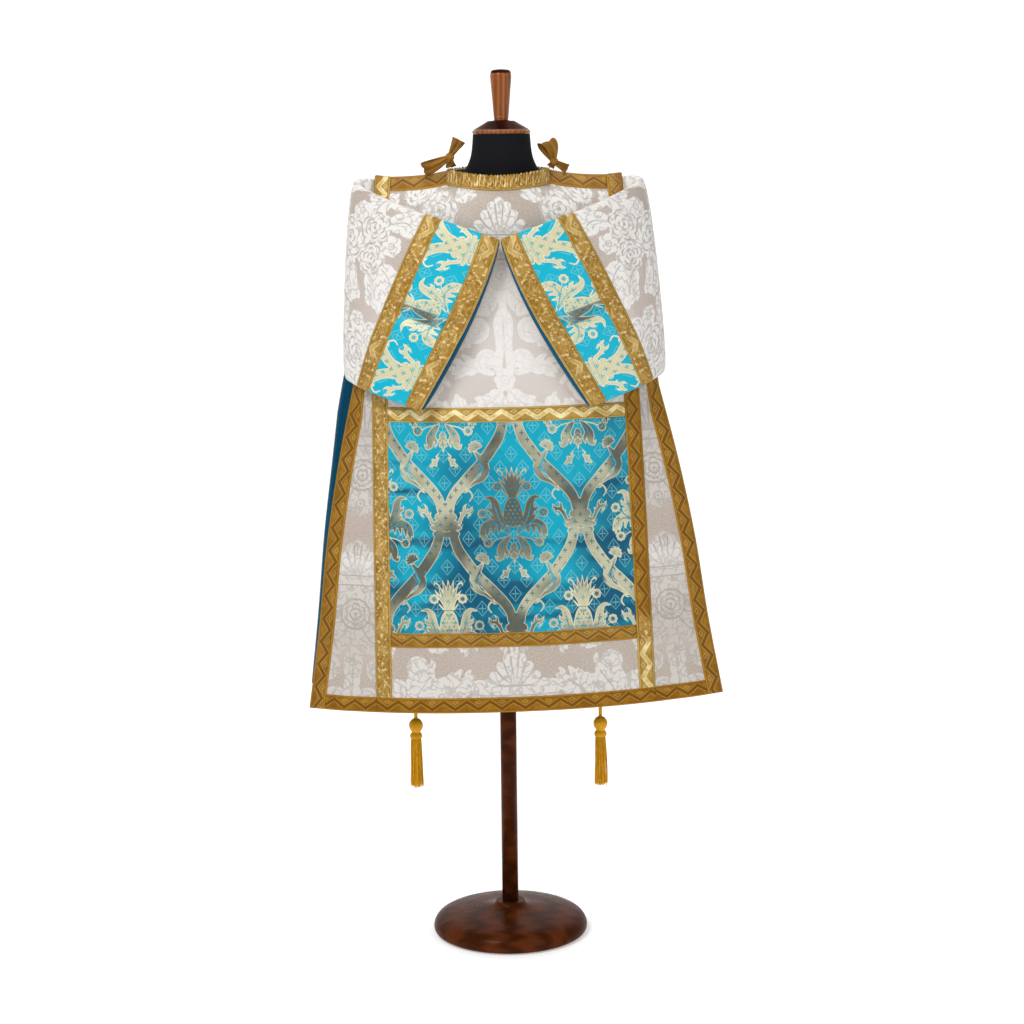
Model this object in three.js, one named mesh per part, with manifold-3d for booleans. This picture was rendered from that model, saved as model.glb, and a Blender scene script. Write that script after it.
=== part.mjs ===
// A Roman tunicle of stiff brocade, laid over a limbless dress form on a round wooden base.
// Millimetres. +Z is up, the wearer faces -Y, and the origin is the centre of the base's underside.
// "left" and "right" are the wearer's, so left is +X. SIDES pairs each name with its sign.
// The garment is drawn symmetrical, and askew() then moves it to how it hangs.

import * as THREE from 'three';
import { mergeVertices } from 'three/addons/utils/BufferGeometryUtils.js';
import Module from 'manifold-3d';

const wasm = await Module();
wasm.setup();

// ---------------------------------------------------------------- driving dimensions

const SEAM = 0.3; // gap kept between pieces
const CLOTH = 1.6; // damask with its interlining
const LINING = 1.0;
const BRAID = 30; // width of the gold galloon
const BRAID_THICK = 0.9;
const BROCADE = 0.9; // turquoise panels applied on the damask

const NECK_HEIGHT = 1503; // shoulder line beside the neck
const SHOULDER_HEIGHT = 1491; // shoulder line at its end
const SHOULDER_HALF = 234;
const NECK_HALF = 94;
const SHOULDER_ROLL = 100; // drop over which a panel turns from lying to hanging
const HEM_HEIGHT = 497;
// The garment hangs a little askew: it is off centre at the shoulders, drifts to the wearer's left
// towards the hem, and the hem rises on that side.
const OFF_AT_SHOULDERS = -7;
const OFF_AT_HEM = 16;
const HEM_RISE = Math.tan(THREE.MathUtils.degToRad(1.6));
const SHIFT_DROP = 250; // drop over which the back panel slips sideways, below the armholes

const CHEST_BAND_TOP = 1068;
const LOWER_BAND_TOP = 648;
const WING_START = 1290; // the side wings leave the armhole here

const BASE_RADIUS = 153;
const NECK_TOP = 1570;
const FORM_BOTTOM = 800;
const POLE_RADIUS = 16;

const SIDES = { left: 1, right: -1 };

// ---------------------------------------------------------------- interpolation

// Value of a column of a table at a height, on a smooth curve through the rows. Rows run downwards.
function smooth(table, column, height) {
  const last = table.length - 1;
  const at = (i) => table[THREE.MathUtils.clamp(i, 0, last)];
  let i = 0;
  while (i < last - 1 && table[i + 1].z > height) i += 1;
  const slope = (k) => (at(k + 1)[column] - at(k - 1)[column]) / (at(k + 1).z - at(k - 1).z);
  const span = table[i + 1].z - table[i].z;
  const t = THREE.MathUtils.clamp((height - table[i].z) / span, 0, 1);
  const t2 = t * t;
  const t3 = t2 * t;
  return (
    (2 * t3 - 3 * t2 + 1) * table[i][column] +
    (t3 - 2 * t2 + t) * span * slope(i) +
    (3 * t2 - 2 * t3) * table[i + 1][column] +
    (t3 - t2) * span * slope(i + 1)
  );
}

// ---------------------------------------------------------------- closed skins

// Collects shared vertices and quads, and gives back a BufferGeometry.
class Skin {
  constructor() {
    this.positions = [];
    this.index = [];
  }
  add(p) {
    this.positions.push(p.x, p.y, p.z);
    return this.positions.length / 3 - 1;
  }
  quad(a, b, c, d) {
    this.index.push(a, b, c, a, c, d);
  }
  // Six times the signed volume, which is negative when the faces point inwards.
  volume() {
    const corner = (i) => new THREE.Vector3().fromArray(this.positions, 3 * this.index[i]);
    let sum = 0;
    for (let i = 0; i < this.index.length; i += 3) {
      sum += corner(i).dot(corner(i + 1).cross(corner(i + 2)));
    }
    return sum;
  }
  geometry() {
    if (this.volume() < 0) this.index.reverse();
    const g = new THREE.BufferGeometry();
    g.setAttribute('position', new THREE.Float32BufferAttribute(this.positions, 3));
    g.setIndex(this.index);
    g.computeVertexNormals();
    return g;
  }
}

// A solid between two grids of equal size, outer and inner, given as rows of points.
// wrap closes each row on itself, as round a tube.
function solidBetween(outer, inner, wrap = false) {
  const skin = new Skin();
  const rows = outer.length;
  const columns = outer[0].length;
  const out = outer.map((row) => row.map((p) => skin.add(p)));
  const back = inner.map((row) => row.map((p) => skin.add(p)));
  const spans = wrap ? columns : columns - 1;
  const next = (j) => (j + 1) % columns;
  for (let i = 0; i < rows - 1; i += 1) {
    for (let j = 0; j < spans; j += 1) {
      skin.quad(out[i][j], out[i + 1][j], out[i + 1][next(j)], out[i][next(j)]);
      skin.quad(back[i][j], back[i][next(j)], back[i + 1][next(j)], back[i + 1][j]);
    }
    if (!wrap) {
      skin.quad(out[i][0], back[i][0], back[i + 1][0], out[i + 1][0]);
      const e = columns - 1;
      skin.quad(out[i][e], out[i + 1][e], back[i + 1][e], back[i][e]);
    }
  }
  for (let j = 0; j < spans; j += 1) {
    const last = rows - 1;
    skin.quad(out[0][j], out[0][next(j)], back[0][next(j)], back[0][j]);
    skin.quad(out[last][j], back[last][j], back[last][next(j)], out[last][next(j)]);
  }
  return skin.geometry();
}

// A closed tube of ring sections, with a flat fan at each end.
function solidOfRings(rings) {
  const skin = new Skin();
  const count = rings[0].length;
  const ids = rings.map((ring) => ring.map((p) => skin.add(p)));
  for (let i = 0; i < rings.length - 1; i += 1) {
    for (let j = 0; j < count; j += 1) {
      const k = (j + 1) % count;
      skin.quad(ids[i][j], ids[i][k], ids[i + 1][k], ids[i + 1][j]);
    }
  }
  const cap = (ring, ids_, flip) => {
    const middle = new THREE.Vector3();
    ring.forEach((p) => middle.add(p));
    const m = skin.add(middle.divideScalar(count));
    for (let j = 0; j < count; j += 1) {
      const k = (j + 1) % count;
      skin.index.push(m, ids_[flip ? k : j], ids_[flip ? j : k]);
    }
  };
  cap(rings[0], ids[0], true);
  cap(rings[rings.length - 1], ids[rings.length - 1], false);
  return skin.geometry();
}

function manifoldOf(geometry) {
  const plain = geometry.clone();
  plain.deleteAttribute('normal');
  if (plain.getAttribute('uv')) plain.deleteAttribute('uv');
  const merged = mergeVertices(plain, 1e-3);
  const made = new wasm.Manifold(
    new wasm.Mesh({
      numProp: 3,
      vertProperties: merged.attributes.position.array,
      triVerts: new Uint32Array(merged.index.array),
    }),
  );
  return made;
}

function joined(geometries) {
  const solids = geometries.map(manifoldOf);
  const whole = solids.slice(1).reduce((a, b) => a.add(b), solids[0]);
  const mesh = whole.getMesh();
  const g = new THREE.BufferGeometry();
  g.setAttribute('position', new THREE.Float32BufferAttribute(mesh.vertProperties, 3));
  g.setIndex([...mesh.triVerts]);
  g.computeVertexNormals();
  return g;
}

// ---------------------------------------------------------------- finishes

function finish(color, roughness, metalness = 0) {
  return new THREE.MeshStandardMaterial({ color, roughness, metalness });
}
const DAMASK = finish(0xcfc5bd, 0.5);
const TURQUOISE = finish(0x0d9fc4, 0.45);
const GOLD = finish(0xb98a35, 0.4, 0.35);
const RIBBON = finish(0x9a6a1f, 0.4);
const BLUE_LINING = finish(0x0b4f73, 0.55);
const GIRDLE_ROPE = finish(0xc8860f, 0.6);
const BLACK_JERSEY = finish(0x101013, 0.9);
const WOOD = finish(0x5a2410, 0.3);

const tunicle = new THREE.Group(); // the cloth, which hangs askew
const part = new THREE.Group();

function add(group, name, geometry, material) {
  const mesh = new THREE.Mesh(geometry, material);
  mesh.name = name;
  group.add(mesh);
}

// ---------------------------------------------------------------- front and back

// Each row is a level of the hanging panel: z, the half width of the cloth, and how far in front of
// (or behind) the shoulder line its middle and its side edges hang.
const HANG = {
  front: {
    facing: -1,
    shift: 0,
    neckDepth: 98,
    neckDip: 10,
    levels: [
      { z: 1491, half: 236, middle: 100, edge: 6 },
      { z: 1450, half: 237, middle: 112, edge: 44 },
      { z: 1385, half: 240, middle: 124, edge: 58 },
      { z: 1290, half: 252, middle: 133, edge: 60 },
      { z: 1200, half: 264, middle: 140, edge: 62 },
      { z: 1100, half: 289, middle: 147, edge: 65 },
      { z: 950, half: 324, middle: 158, edge: 72 },
      { z: 800, half: 352, middle: 170, edge: 80 },
      { z: 650, half: 372, middle: 182, edge: 90 },
      { z: 497, half: 397, middle: 194, edge: 102 },
    ],
  },
  back: {
    facing: 1,
    shift: -14,
    neckDepth: 74,
    neckDip: -6,
    levels: [
      { z: 1491, half: 236, middle: 92, edge: 6 },
      { z: 1450, half: 237, middle: 108, edge: 44 },
      { z: 1385, half: 240, middle: 123, edge: 58 },
      { z: 1290, half: 262, middle: 130, edge: 66 },
      { z: 1200, half: 288, middle: 132, edge: 72 },
      { z: 1100, half: 308, middle: 134, edge: 76 },
      { z: 950, half: 332, middle: 142, edge: 82 },
      { z: 800, half: 356, middle: 154, edge: 88 },
      { z: 650, half: 375, middle: 167, edge: 95 },
      { z: 497, half: 397, middle: 180, edge: 104 },
    ],
  },
};
const WRAP = 2.2; // how late the cloth curves back towards its side edges
const ROLL_SHAPE = 2.6; // nearer 1 makes the shoulder a sharper ridge

// Half spacing of the two upright braids, middle to middle.
const BRAID_LINE = [
  { z: 1491, x: 219 },
  { z: 1100, x: 236 },
  { z: 497, x: 250 },
];

// The top edge of a panel above x: the neckline between the neck points, then the shoulder line.
function topEdge(panel, x) {
  const away = Math.abs(x);
  if (away >= NECK_HALF) {
    const t = (away - NECK_HALF) / (SHOULDER_HALF - NECK_HALF);
    const rise = (NECK_HEIGHT - SHOULDER_HEIGHT) * (1 - t) ** 3;
    return { y: SEAM, z: SHOULDER_HEIGHT + rise };
  }
  const t = away / NECK_HALF;
  const bow = 1 - t * t;
  return { y: SEAM + panel.neckDepth * Math.sqrt(bow), z: NECK_HEIGHT - panel.neckDip * bow };
}

// A point of the panel's outer face. The roll carries it from the shoulder line to the hanging cloth.
// topX is where its column meets the top edge.
function panelPoint(panel, x, z, topX) {
  const top = topEdge(panel, topX);
  const half = smooth(panel.levels, 'half', z);
  const middle = smooth(panel.levels, 'middle', z);
  const edge = smooth(panel.levels, 'edge', z);
  const hanging = middle + (edge - middle) * Math.min(1, Math.abs(x) / half) ** WRAP;
  const t = THREE.MathUtils.clamp((top.z - z) / SHOULDER_ROLL, 0, 1);
  const roll = 1 - (1 - t) ** ROLL_SHAPE;
  const depth = top.y + (hanging - top.y) * roll;
  const shift = panel.shift * THREE.MathUtils.clamp((WING_START - z) / SHIFT_DROP, 0, 1);
  return new THREE.Vector3(x + shift, panel.facing * depth, z);
}

// The columns between the braids, as shares of the braid's inner edge. The neck point is one of them.
const NECK_SHARE = NECK_HALF / (SHOULDER_HALF - BRAID);
const SHARES = [0, 0.42 * NECK_SHARE, 0.78 * NECK_SHARE, NECK_SHARE, 0.72, 1];
const NECK_COLUMN = SHARES.length - SHARES.indexOf(NECK_SHARE); // counted from the cloth's edge
// The rows above the chest band, as shares of the way down from the top edge.
const ARMHOLE_SHARE = (SHOULDER_HEIGHT - WING_START) / (SHOULDER_HEIGHT - CHEST_BAND_TOP);
const UPPER = [0, 0.02, 0.06, 0.12, 0.2, 0.32, ARMHOLE_SHARE, 0.72];
const TRIM_ROW = 2; // the shoulder and neck braids end at this row
const UPPER_WING = UPPER.indexOf(ARMHOLE_SHARE);
// The rows from the chest band down. The bands and the turquoise square take whole rows.
const SQUARE_ROWS = 4;
const LOWER = [
  CHEST_BAND_TOP,
  ...Array.from({ length: SQUARE_ROWS + 1 }, (_, i) =>
    THREE.MathUtils.lerp(CHEST_BAND_TOP - BRAID + 2, LOWER_BAND_TOP, i / SQUARE_ROWS),
  ),
  LOWER_BAND_TOP - BRAID + 2,
  (LOWER_BAND_TOP + HEM_HEIGHT) / 2,
  HEM_HEIGHT + BRAID - 2,
  HEM_HEIGHT,
];
const CHEST_ROW = UPPER.length; // first row of LOWER in the whole grid
const LAST_ROW = UPPER.length + LOWER.length - 1;

const braidLine = (z) => smooth(BRAID_LINE, 'x', z);

// Grid of the centre of a panel, with the upright braids on its outermost columns.
function centreGrid(panel) {
  const shares = [...SHARES.slice(1).reverse().map((s) => -s), ...SHARES];
  const columns = [
    (z) => -(braidLine(z) + BRAID / 2),
    ...shares.map((s) => (z) => s * (braidLine(z) - BRAID / 2)),
    (z) => braidLine(z) + BRAID / 2,
  ];
  const tops = columns.map((line) => line(SHOULDER_HEIGHT));
  return [
    ...UPPER.map((share) =>
      columns.map((line, j) => {
        const z = THREE.MathUtils.lerp(topEdge(panel, tops[j]).z, CHEST_BAND_TOP, share);
        return panelPoint(panel, line(Math.min(z, SHOULDER_HEIGHT)), z, tops[j]);
      }),
    ),
    ...LOWER.map((z) => columns.map((line, j) => panelPoint(panel, line(z), z, tops[j]))),
  ];
}

// Grid of a side wing, from the braid's outer edge to the cloth's edge. Its last column carries the edge braid.
const WING_SHARES = [0, 1];
function wingGrid(panel, sign) {
  const levels = [
    ...UPPER.slice(UPPER_WING).map((share) =>
      THREE.MathUtils.lerp(SHOULDER_HEIGHT, CHEST_BAND_TOP, share),
    ),
    ...LOWER,
  ];
  return levels.map((z) => {
    const inner = braidLine(z) + BRAID / 2;
    const outer = smooth(panel.levels, 'half', z);
    const braid = Math.max(outer - BRAID, inner + (outer - inner) * 0.4);
    const row = [...WING_SHARES.map((s) => THREE.MathUtils.lerp(inner, braid, s)), outer];
    const points = row.map((x) => panelPoint(panel, sign * x, z, sign * SHOULDER_HALF));
    return sign > 0 ? points : points.reverse();
  });
}

const FLAT_LIMIT = 0.01; // settles the answer below where all the faces round a point are parallel

// For each point of a grid, the vector that moves it out by one unit from all the faces round it.
// sense is 1 or -1, whichever makes that the outside. wrap closes each row on itself.
// Points on the shoulder line move straight up, so that the front and the back keep their seam.
function shellNormals(grid, sense, wrap = false) {
  const rows = grid.length;
  const columns = grid[0].length;
  const at = (i, j) => grid[i][(j + columns) % columns];
  const faceNormal = (i, j) => {
    const a = new THREE.Vector3().subVectors(at(i + 1, j + 1), at(i, j));
    const b = new THREE.Vector3().subVectors(at(i + 1, j), at(i, j + 1));
    return b.cross(a).normalize().multiplyScalar(sense);
  };
  const inGrid = (i, j) => i >= 0 && i < rows - 1 && (wrap || (j >= 0 && j < columns - 1));
  return grid.map((row, i) =>
    row.map((point, j) => {
      const faces = [[i - 1, j - 1], [i - 1, j], [i, j - 1], [i, j]]
        .filter(([r, c]) => inGrid(r, c))
        .map(([r, c]) => faceNormal(r, c));
      const sum = new THREE.Vector3();
      const m = new Array(9).fill(0);
      for (const n of faces) {
        sum.add(n);
        n.toArray().forEach((u, a) => n.toArray().forEach((v, b) => (m[3 * a + b] += u * v)));
      }
      [0, 4, 8].forEach((k) => (m[k] += FLAT_LIMIT));
      const move = sum.applyMatrix3(new THREE.Matrix3(...m).invert());
      const onShoulderLine = i === 0 && Math.abs(point.y) <= SEAM + 1e-6 && !wrap;
      if (!onShoulderLine) return move;
      const level = move.clone().setY(0);
      return level.multiplyScalar(move.lengthSq() / level.lengthSq());
    }),
  );
}

// A point moved half a seam's width towards another.
function drawnIn(point, other) {
  return point.clone().addScaledVector(other.clone().sub(point).normalize(), SEAM / 2);
}

// Moves the first and last rows in, so that pieces one below the other keep their seam.
function insetEnds(points) {
  const last = points.length - 1;
  return points.map((row, i) => {
    if (i === 0) return row.map((p, j) => drawnIn(p, points[1][j]));
    if (i === last) return row.map((p, j) => drawnIn(p, points[last - 1][j]));
    return row;
  });
}

// The same on all four sides.
function inset(points) {
  return insetEnds(points).map((row) => {
    const last = row.length - 1;
    return row.map((p, j) => {
      if (j === 0) return drawnIn(p, row[1]);
      if (j === last) return drawnIn(p, row[last - 1]);
      return p;
    });
  });
}

// A piece of cloth over part of a grid: rows r0 to r1 and columns c0 to c1, between two heights above
// the grid, which is the outer face of the damask.
function patch(grid, normals, [r0, r1], [c0, c1], low, high) {
  const lifted = (height) =>
    grid
      .slice(r0, r1 + 1)
      .map((row, i) =>
        row
          .slice(c0, c1 + 1)
          .map((p, j) => p.clone().addScaledVector(normals[r0 + i][c0 + j], height)),
      );
  return solidBetween(inset(lifted(high)), inset(lifted(low)));
}

const ON_CLOTH = SEAM; // underside of what is sewn on the damask
const UNDER_CLOTH = -CLOTH - SEAM;

function addPanel(name, panel) {
  const { facing } = panel;
  const grid = centreGrid(panel);
  const normals = shellNormals(grid, -facing);
  const last = grid[0].length - 1;
  const wings = Object.entries(SIDES).map(([side, sign]) => {
    const points = wingGrid(panel, sign);
    const wing = { side, sign, points, normals: shellNormals(points, -facing) };
    shareSeam(normals.slice(UPPER_WING), sign > 0 ? last : 0, wing.normals, sign > 0 ? 0 : 2);
    return wing;
  });
  const all = [0, last];
  const whole = [0, LAST_ROW];
  const on = (suffix, rows, columns, thick, material) =>
    add(
      tunicle,
      `${name}_${suffix}`,
      patch(grid, normals, rows, columns, ON_CLOTH, ON_CLOTH + thick),
      material,
    );
  add(tunicle, name, patch(grid, normals, whole, all, -CLOTH, 0), DAMASK);
  add(
    tunicle,
    `${name}_lining`,
    patch(grid, normals, whole, all, UNDER_CLOTH - LINING, UNDER_CLOTH),
    BLUE_LINING,
  );
  on('square', [CHEST_ROW + 1, CHEST_ROW + 1 + SQUARE_ROWS], [1, last - 1], BROCADE, TURQUOISE);
  on('chest_braid', [CHEST_ROW, CHEST_ROW + 1], [1, last - 1], BRAID_THICK, GOLD);
  on('lower_braid', [LAST_ROW - 4, LAST_ROW - 3], [1, last - 1], BRAID_THICK, GOLD);
  on('hem_braid', [LAST_ROW - 1, LAST_ROW], all, BRAID_THICK, GOLD);
  on('neck_braid', [0, TRIM_ROW], [NECK_COLUMN, last - NECK_COLUMN], BRAID_THICK, GOLD);
  on('shoulder_braid_left', [0, TRIM_ROW], [last - NECK_COLUMN, last - 1], BRAID_THICK, GOLD);
  on('shoulder_braid_right', [0, TRIM_ROW], [1, NECK_COLUMN], BRAID_THICK, GOLD);
  addUprights(name, grid, normals, last);
  wings.forEach((wing) => addWing(name, wing));
}

// Gives the meeting columns of two grids the same normals.
function shareSeam(rows, column, otherRows, otherColumn) {
  rows.forEach((row, i) => {
    const middle = row[column].clone().lerp(otherRows[i][otherColumn], 0.5);
    row[column] = middle;
    otherRows[i][otherColumn] = middle;
  });
}

function addUprights(name, grid, normals, last) {
  for (const [side, sign] of Object.entries(SIDES)) {
    const columns = sign > 0 ? [last - 1, last] : [0, 1];
    const rows = [0, LAST_ROW - 1];
    add(
      tunicle,
      `${name}_upright_braid_${side}`,
      patch(grid, normals, rows, columns, ON_CLOTH, ON_CLOTH + BRAID_THICK),
      GOLD,
    );
  }
}

function addWing(name, { side, sign, points, normals }) {
  const all = [0, points[0].length - 1];
  const rows = [0, points.length - 1];
  const on = (suffix, rowSpan, columns, low, high, material) =>
    add(
      tunicle,
      `${name}_${suffix}_${side}`,
      patch(points, normals, rowSpan, columns, low, high),
      material,
    );
  on('wing', rows, all, -CLOTH, 0, DAMASK);
  on('wing_lining', rows, all, UNDER_CLOTH - LINING, UNDER_CLOTH, BLUE_LINING);
  const edge = sign > 0 ? [all[1] - 1, all[1]] : [0, 1];
  on('edge_braid', rows, edge, ON_CLOTH, ON_CLOTH + BRAID_THICK, GOLD);
  const hem = [rows[1] - 1, rows[1]];
  const hemSpan = sign > 0 ? [0, all[1] - 1] : [1, all[1]];
  on('wing_hem_braid', hem, hemSpan, ON_CLOTH, ON_CLOTH + BRAID_THICK, GOLD);
}

Object.entries(HANG).forEach(([name, panel]) => addPanel(name, panel));

// ---------------------------------------------------------------- sleeves

// A sleeve is a flat tube. It leaves the armhole sideways, bends forward round its own fold, and its cuff
// lies across the chest. Each row is a station along it: its upper and lower fold, half its thickness,
// and the bearing of its outer layer, in degrees from +X towards +Y.
const SLEEVE = [
  { topX: 239, topY: 0, topZ: 1489, lowX: 255, lowY: 0, lowZ: 1132, half: 57, turn: 90 },
  { topX: 263, topY: -22, topZ: 1489, lowX: 282, lowY: -22, lowZ: 1127, half: 28, turn: 45 },
  { topX: 256, topY: -65, topZ: 1476, lowX: 298, lowY: -64, lowZ: 1120, half: 14, turn: -18 },
  { topX: 212, topY: -98, topZ: 1455, lowX: 284, lowY: -98, lowZ: 1112, half: 11, turn: -52 },
  { topX: 164, topY: -121, topZ: 1435, lowX: 257, lowY: -122, lowZ: 1102, half: 10, turn: -65 },
  { topX: 112, topY: -138, topZ: 1416, lowX: 226, lowY: -141, lowZ: 1091, half: 10, turn: -69 },
  { topX: 58, topY: -149, topZ: 1397, lowX: 192, lowY: -154, lowZ: 1079, half: 10, turn: -75 },
  { topX: 1.6, topY: -155, topZ: 1377, lowX: 158, lowY: -165, lowZ: 1066, half: 10, turn: -78 },
];
const SLEEVE_FLATNESS = 0.6;
const CUFF_STEP = 12; // how far the layer on the chest shows past the outer one at its lower corner
const CUFF_STEP_SHARE = 6; // the step builds up in the last part of the sleeve
const AROUND = 16;
// Stations of the rings. The braids and the turquoise cuff take whole spans of the last ones.
const RINGS = [0, 0.05, 0.1, 0.15, 0.2, 0.27, 0.36, 0.48, 0.65, 0.73, 0.83, 0.92, 1];
const LINING_FROM = 0.48; // deeper inside, the lining can't be seen
// The stations lie closer together along the lower fold. So the rings slant there, and the cuff's pieces
// keep their widths from the upper fold to the lower one.
const CUFF_SLANT = 0.5;
const SLANT_FULL_FROM = 0.6;
const CUFF = {
  upper_braid: [0.65, 0.73],
  band: [0.73, 0.92],
  edge_braid: [0.92, 1],
};

// A value of the sleeve table at a share of its length, on a Catmull-Rom curve.
function along(column, share) {
  const last = SLEEVE.length - 1;
  const at = share * last;
  const i = Math.min(last - 1, Math.floor(at));
  const t = at - i;
  const value = (k) => {
    if (k < 0) return 2 * SLEEVE[0][column] - SLEEVE[1][column];
    if (k > last) return 2 * SLEEVE[last][column] - SLEEVE[last - 1][column];
    return SLEEVE[k][column];
  };
  const [a, b, c, d] = [value(i - 1), value(i), value(i + 1), value(i + 2)];
  const cubic = 3 * (b - c) + d - a;
  const square = 2 * a - 5 * b + 4 * c - d;
  return b + (t * (c - a + t * (square + t * cubic))) / 2;
}

const foldPoint = (fold, share) =>
  new THREE.Vector3(along(`${fold}X`, share), along(`${fold}Y`, share), along(`${fold}Z`, share));

// A point of the damask's outer face, on the ring of a station, round the tube from the upper fold.
function sleevePoint(ring, angle) {
  const down = 0.5 - 0.5 * Math.cos(angle);
  const share = ring - CUFF_SLANT * Math.min(1, ring / SLANT_FULL_FROM) * (1 - ring) * down;
  const top = foldPoint('top', share);
  const low = foldPoint('low', share);
  const bearing = THREE.MathUtils.degToRad(along('turn', share));
  const outward = new THREE.Vector3(Math.cos(bearing), Math.sin(bearing), 0);
  const step = 0.004;
  const before = Math.max(0, share - step);
  const after = Math.min(1, share + step);
  const forward = foldPoint('low', after).sub(foldPoint('low', before)).normalize();
  const swell = Math.sign(Math.sin(angle)) * Math.abs(Math.sin(angle)) ** SLEEVE_FLATNESS;
  const onChest = Math.max(0, -swell);
  return top
    .lerp(low, down)
    .addScaledVector(outward, along('half', share) * swell)
    .addScaledVector(forward, CUFF_STEP * onChest * down * share ** CUFF_STEP_SHARE);
}

function addSleeve(side, sign) {
  const rings = RINGS.map((share) =>
    Array.from({ length: AROUND }, (_, k) => {
      const p = sleevePoint(share, (2 * Math.PI * k) / AROUND);
      return p.setX(sign * p.x);
    }),
  );
  const normals = shellNormals(rings, sign, true);
  const shell = ([from, to], low, high) => {
    const first = RINGS.indexOf(from);
    const lifted = (height) =>
      rings
        .slice(first, RINGS.indexOf(to) + 1)
        .map((ring, i) => ring.map((p, j) => p.clone().addScaledVector(normals[first + i][j], height)));
    return solidBetween(insetEnds(lifted(high)), insetEnds(lifted(low)), true);
  };
  add(tunicle, `sleeve_${side}`, shell([0, 1], -CLOTH, 0), DAMASK);
  const lining = shell([LINING_FROM, 1], UNDER_CLOTH - LINING, UNDER_CLOTH);
  add(tunicle, `sleeve_lining_${side}`, lining, BLUE_LINING);
  for (const [name, span] of Object.entries(CUFF)) {
    const thick = name === 'band' ? BROCADE : BRAID_THICK;
    const material = name === 'band' ? TURQUOISE : GOLD;
    add(tunicle, `cuff_${name}_${side}`, shell(span, ON_CLOTH, ON_CLOTH + thick), material);
  }
}

Object.entries(SIDES).forEach(([side, sign]) => addSleeve(side, sign));

// ---------------------------------------------------------------- shoulder ties

const TIE_THICK = 1.4;
const TIE_DEPTH = -7; // the bows stand this far in front of the shoulder line
// Each tie is a ribbon knotted over the neck point. A strand runs from the knot to (x, z); a loop
// doubles back, a tail ends there, and a strap goes down to the panel. width is at its far end.
const TIES = {
  left: {
    knot: { x: 106, z: 1517 },
    strands: [
      { form: 'loop', x: 91, z: 1556, width: 20 },
      { form: 'tail', x: 124, z: 1505, width: 15 },
      { form: 'strap', x: 99, z: 1507, width: 14 },
    ],
  },
  right: {
    knot: { x: -91, z: 1528 },
    strands: [
      { form: 'tail', x: -72, z: 1560, width: 24 },
      { form: 'loop', x: -139, z: 1506, width: 18 },
      { form: 'strap', x: -89, z: 1509, width: 16 },
    ],
  },
};
const KNOT_RADIUS = 8;
const LOOP_OPEN = 7; // half the gap between the two runs of a loop
const STRAND_STEPS = 4;

// A flat ribbon along points, all in planes that hold the across direction.
function ribbon(points, across, widths) {
  const rings = points.map((p, i) => {
    const before = points[Math.max(0, i - 1)];
    const after = points[Math.min(points.length - 1, i + 1)];
    const forward = new THREE.Vector3().subVectors(after, before).normalize();
    const through = forward.clone().cross(across).normalize();
    const corner = (a, b) =>
      p
        .clone()
        .addScaledVector(across, (a * widths[i]) / 2)
        .addScaledVector(through, (b * TIE_THICK) / 2);
    return [corner(-1, -1), corner(1, -1), corner(1, 1), corner(-1, 1)];
  });
  return solidOfRings(rings);
}

function strand(knot, { form, x, z, width }) {
  const start = new THREE.Vector3(knot.x, TIE_DEPTH, knot.z);
  const reach = new THREE.Vector3(x - knot.x, 0, z - knot.z);
  const across = new THREE.Vector3(-reach.z, 0, reach.x).normalize();
  const turns = form === 'loop' ? 2 * STRAND_STEPS : STRAND_STEPS;
  const points = [];
  const widths = [];
  for (let i = 0; i <= turns; i += 1) {
    const t = i / turns;
    const away = form === 'loop' ? Math.sin(Math.PI * t) : t;
    const side = form === 'loop' ? LOOP_OPEN * Math.sin(2 * Math.PI * t) : 3 * Math.sin(4 * t);
    points.push(start.clone().addScaledVector(reach, away).add(new THREE.Vector3(0, -side, 0)));
    widths.push(THREE.MathUtils.lerp(KNOT_RADIUS, width, away));
  }
  return ribbon(points, across, widths);
}

function addTie(side, { knot, strands }) {
  const ball = new THREE.SphereGeometry(KNOT_RADIUS, 8, 6).scale(1, 0.8, 1);
  ball.translate(knot.x, TIE_DEPTH, knot.z);
  add(tunicle, `tie_${side}`, joined([ball, ...strands.map((s) => strand(knot, s))]), RIBBON);
}

Object.entries(TIES).forEach(([side, tie]) => addTie(side, tie));

// Moves every point of a piece from the symmetrical garment to the way it hangs.
function askew(geometry) {
  const position = geometry.getAttribute('position');
  for (let i = 0; i < position.count; i += 1) {
    const x = position.getX(i);
    const z = position.getZ(i);
    const down = THREE.MathUtils.clamp((NECK_HEIGHT - z) / (NECK_HEIGHT - HEM_HEIGHT), 0, 1);
    position.setX(i, x + THREE.MathUtils.lerp(OFF_AT_SHOULDERS, OFF_AT_HEM, down));
    position.setZ(i, z + HEM_RISE * x * down);
  }
}
tunicle.children.forEach((mesh) => askew(mesh.geometry));
part.add(tunicle);

// ---------------------------------------------------------------- girdle

const CORD = 7;
const GIRDLE = {
  height: 1015,
  halfWidth: 168,
  halfDepth: 110,
  leave: THREE.MathUtils.degToRad(-22), // where an end leaves the waist, forward of the side
};
const TASSEL = { x: 178, y: -92, top: 462, head: 34, headRadius: 13, length: 143, strands: 24 };
const WAIST_STEPS = 32;
const CORD_SIDES = 6;
const CORD_STEPS = 16;

function circle(radius, sides) {
  return Array.from({ length: sides }, (_, k) => {
    const a = (2 * Math.PI * k) / sides;
    return new THREE.Vector2(radius * Math.cos(a), radius * Math.sin(a));
  });
}

const waistPoint = (angle) =>
  new THREE.Vector3(
    GIRDLE.halfWidth * Math.cos(angle),
    GIRDLE.halfDepth * Math.sin(angle),
    GIRDLE.height,
  );

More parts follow.
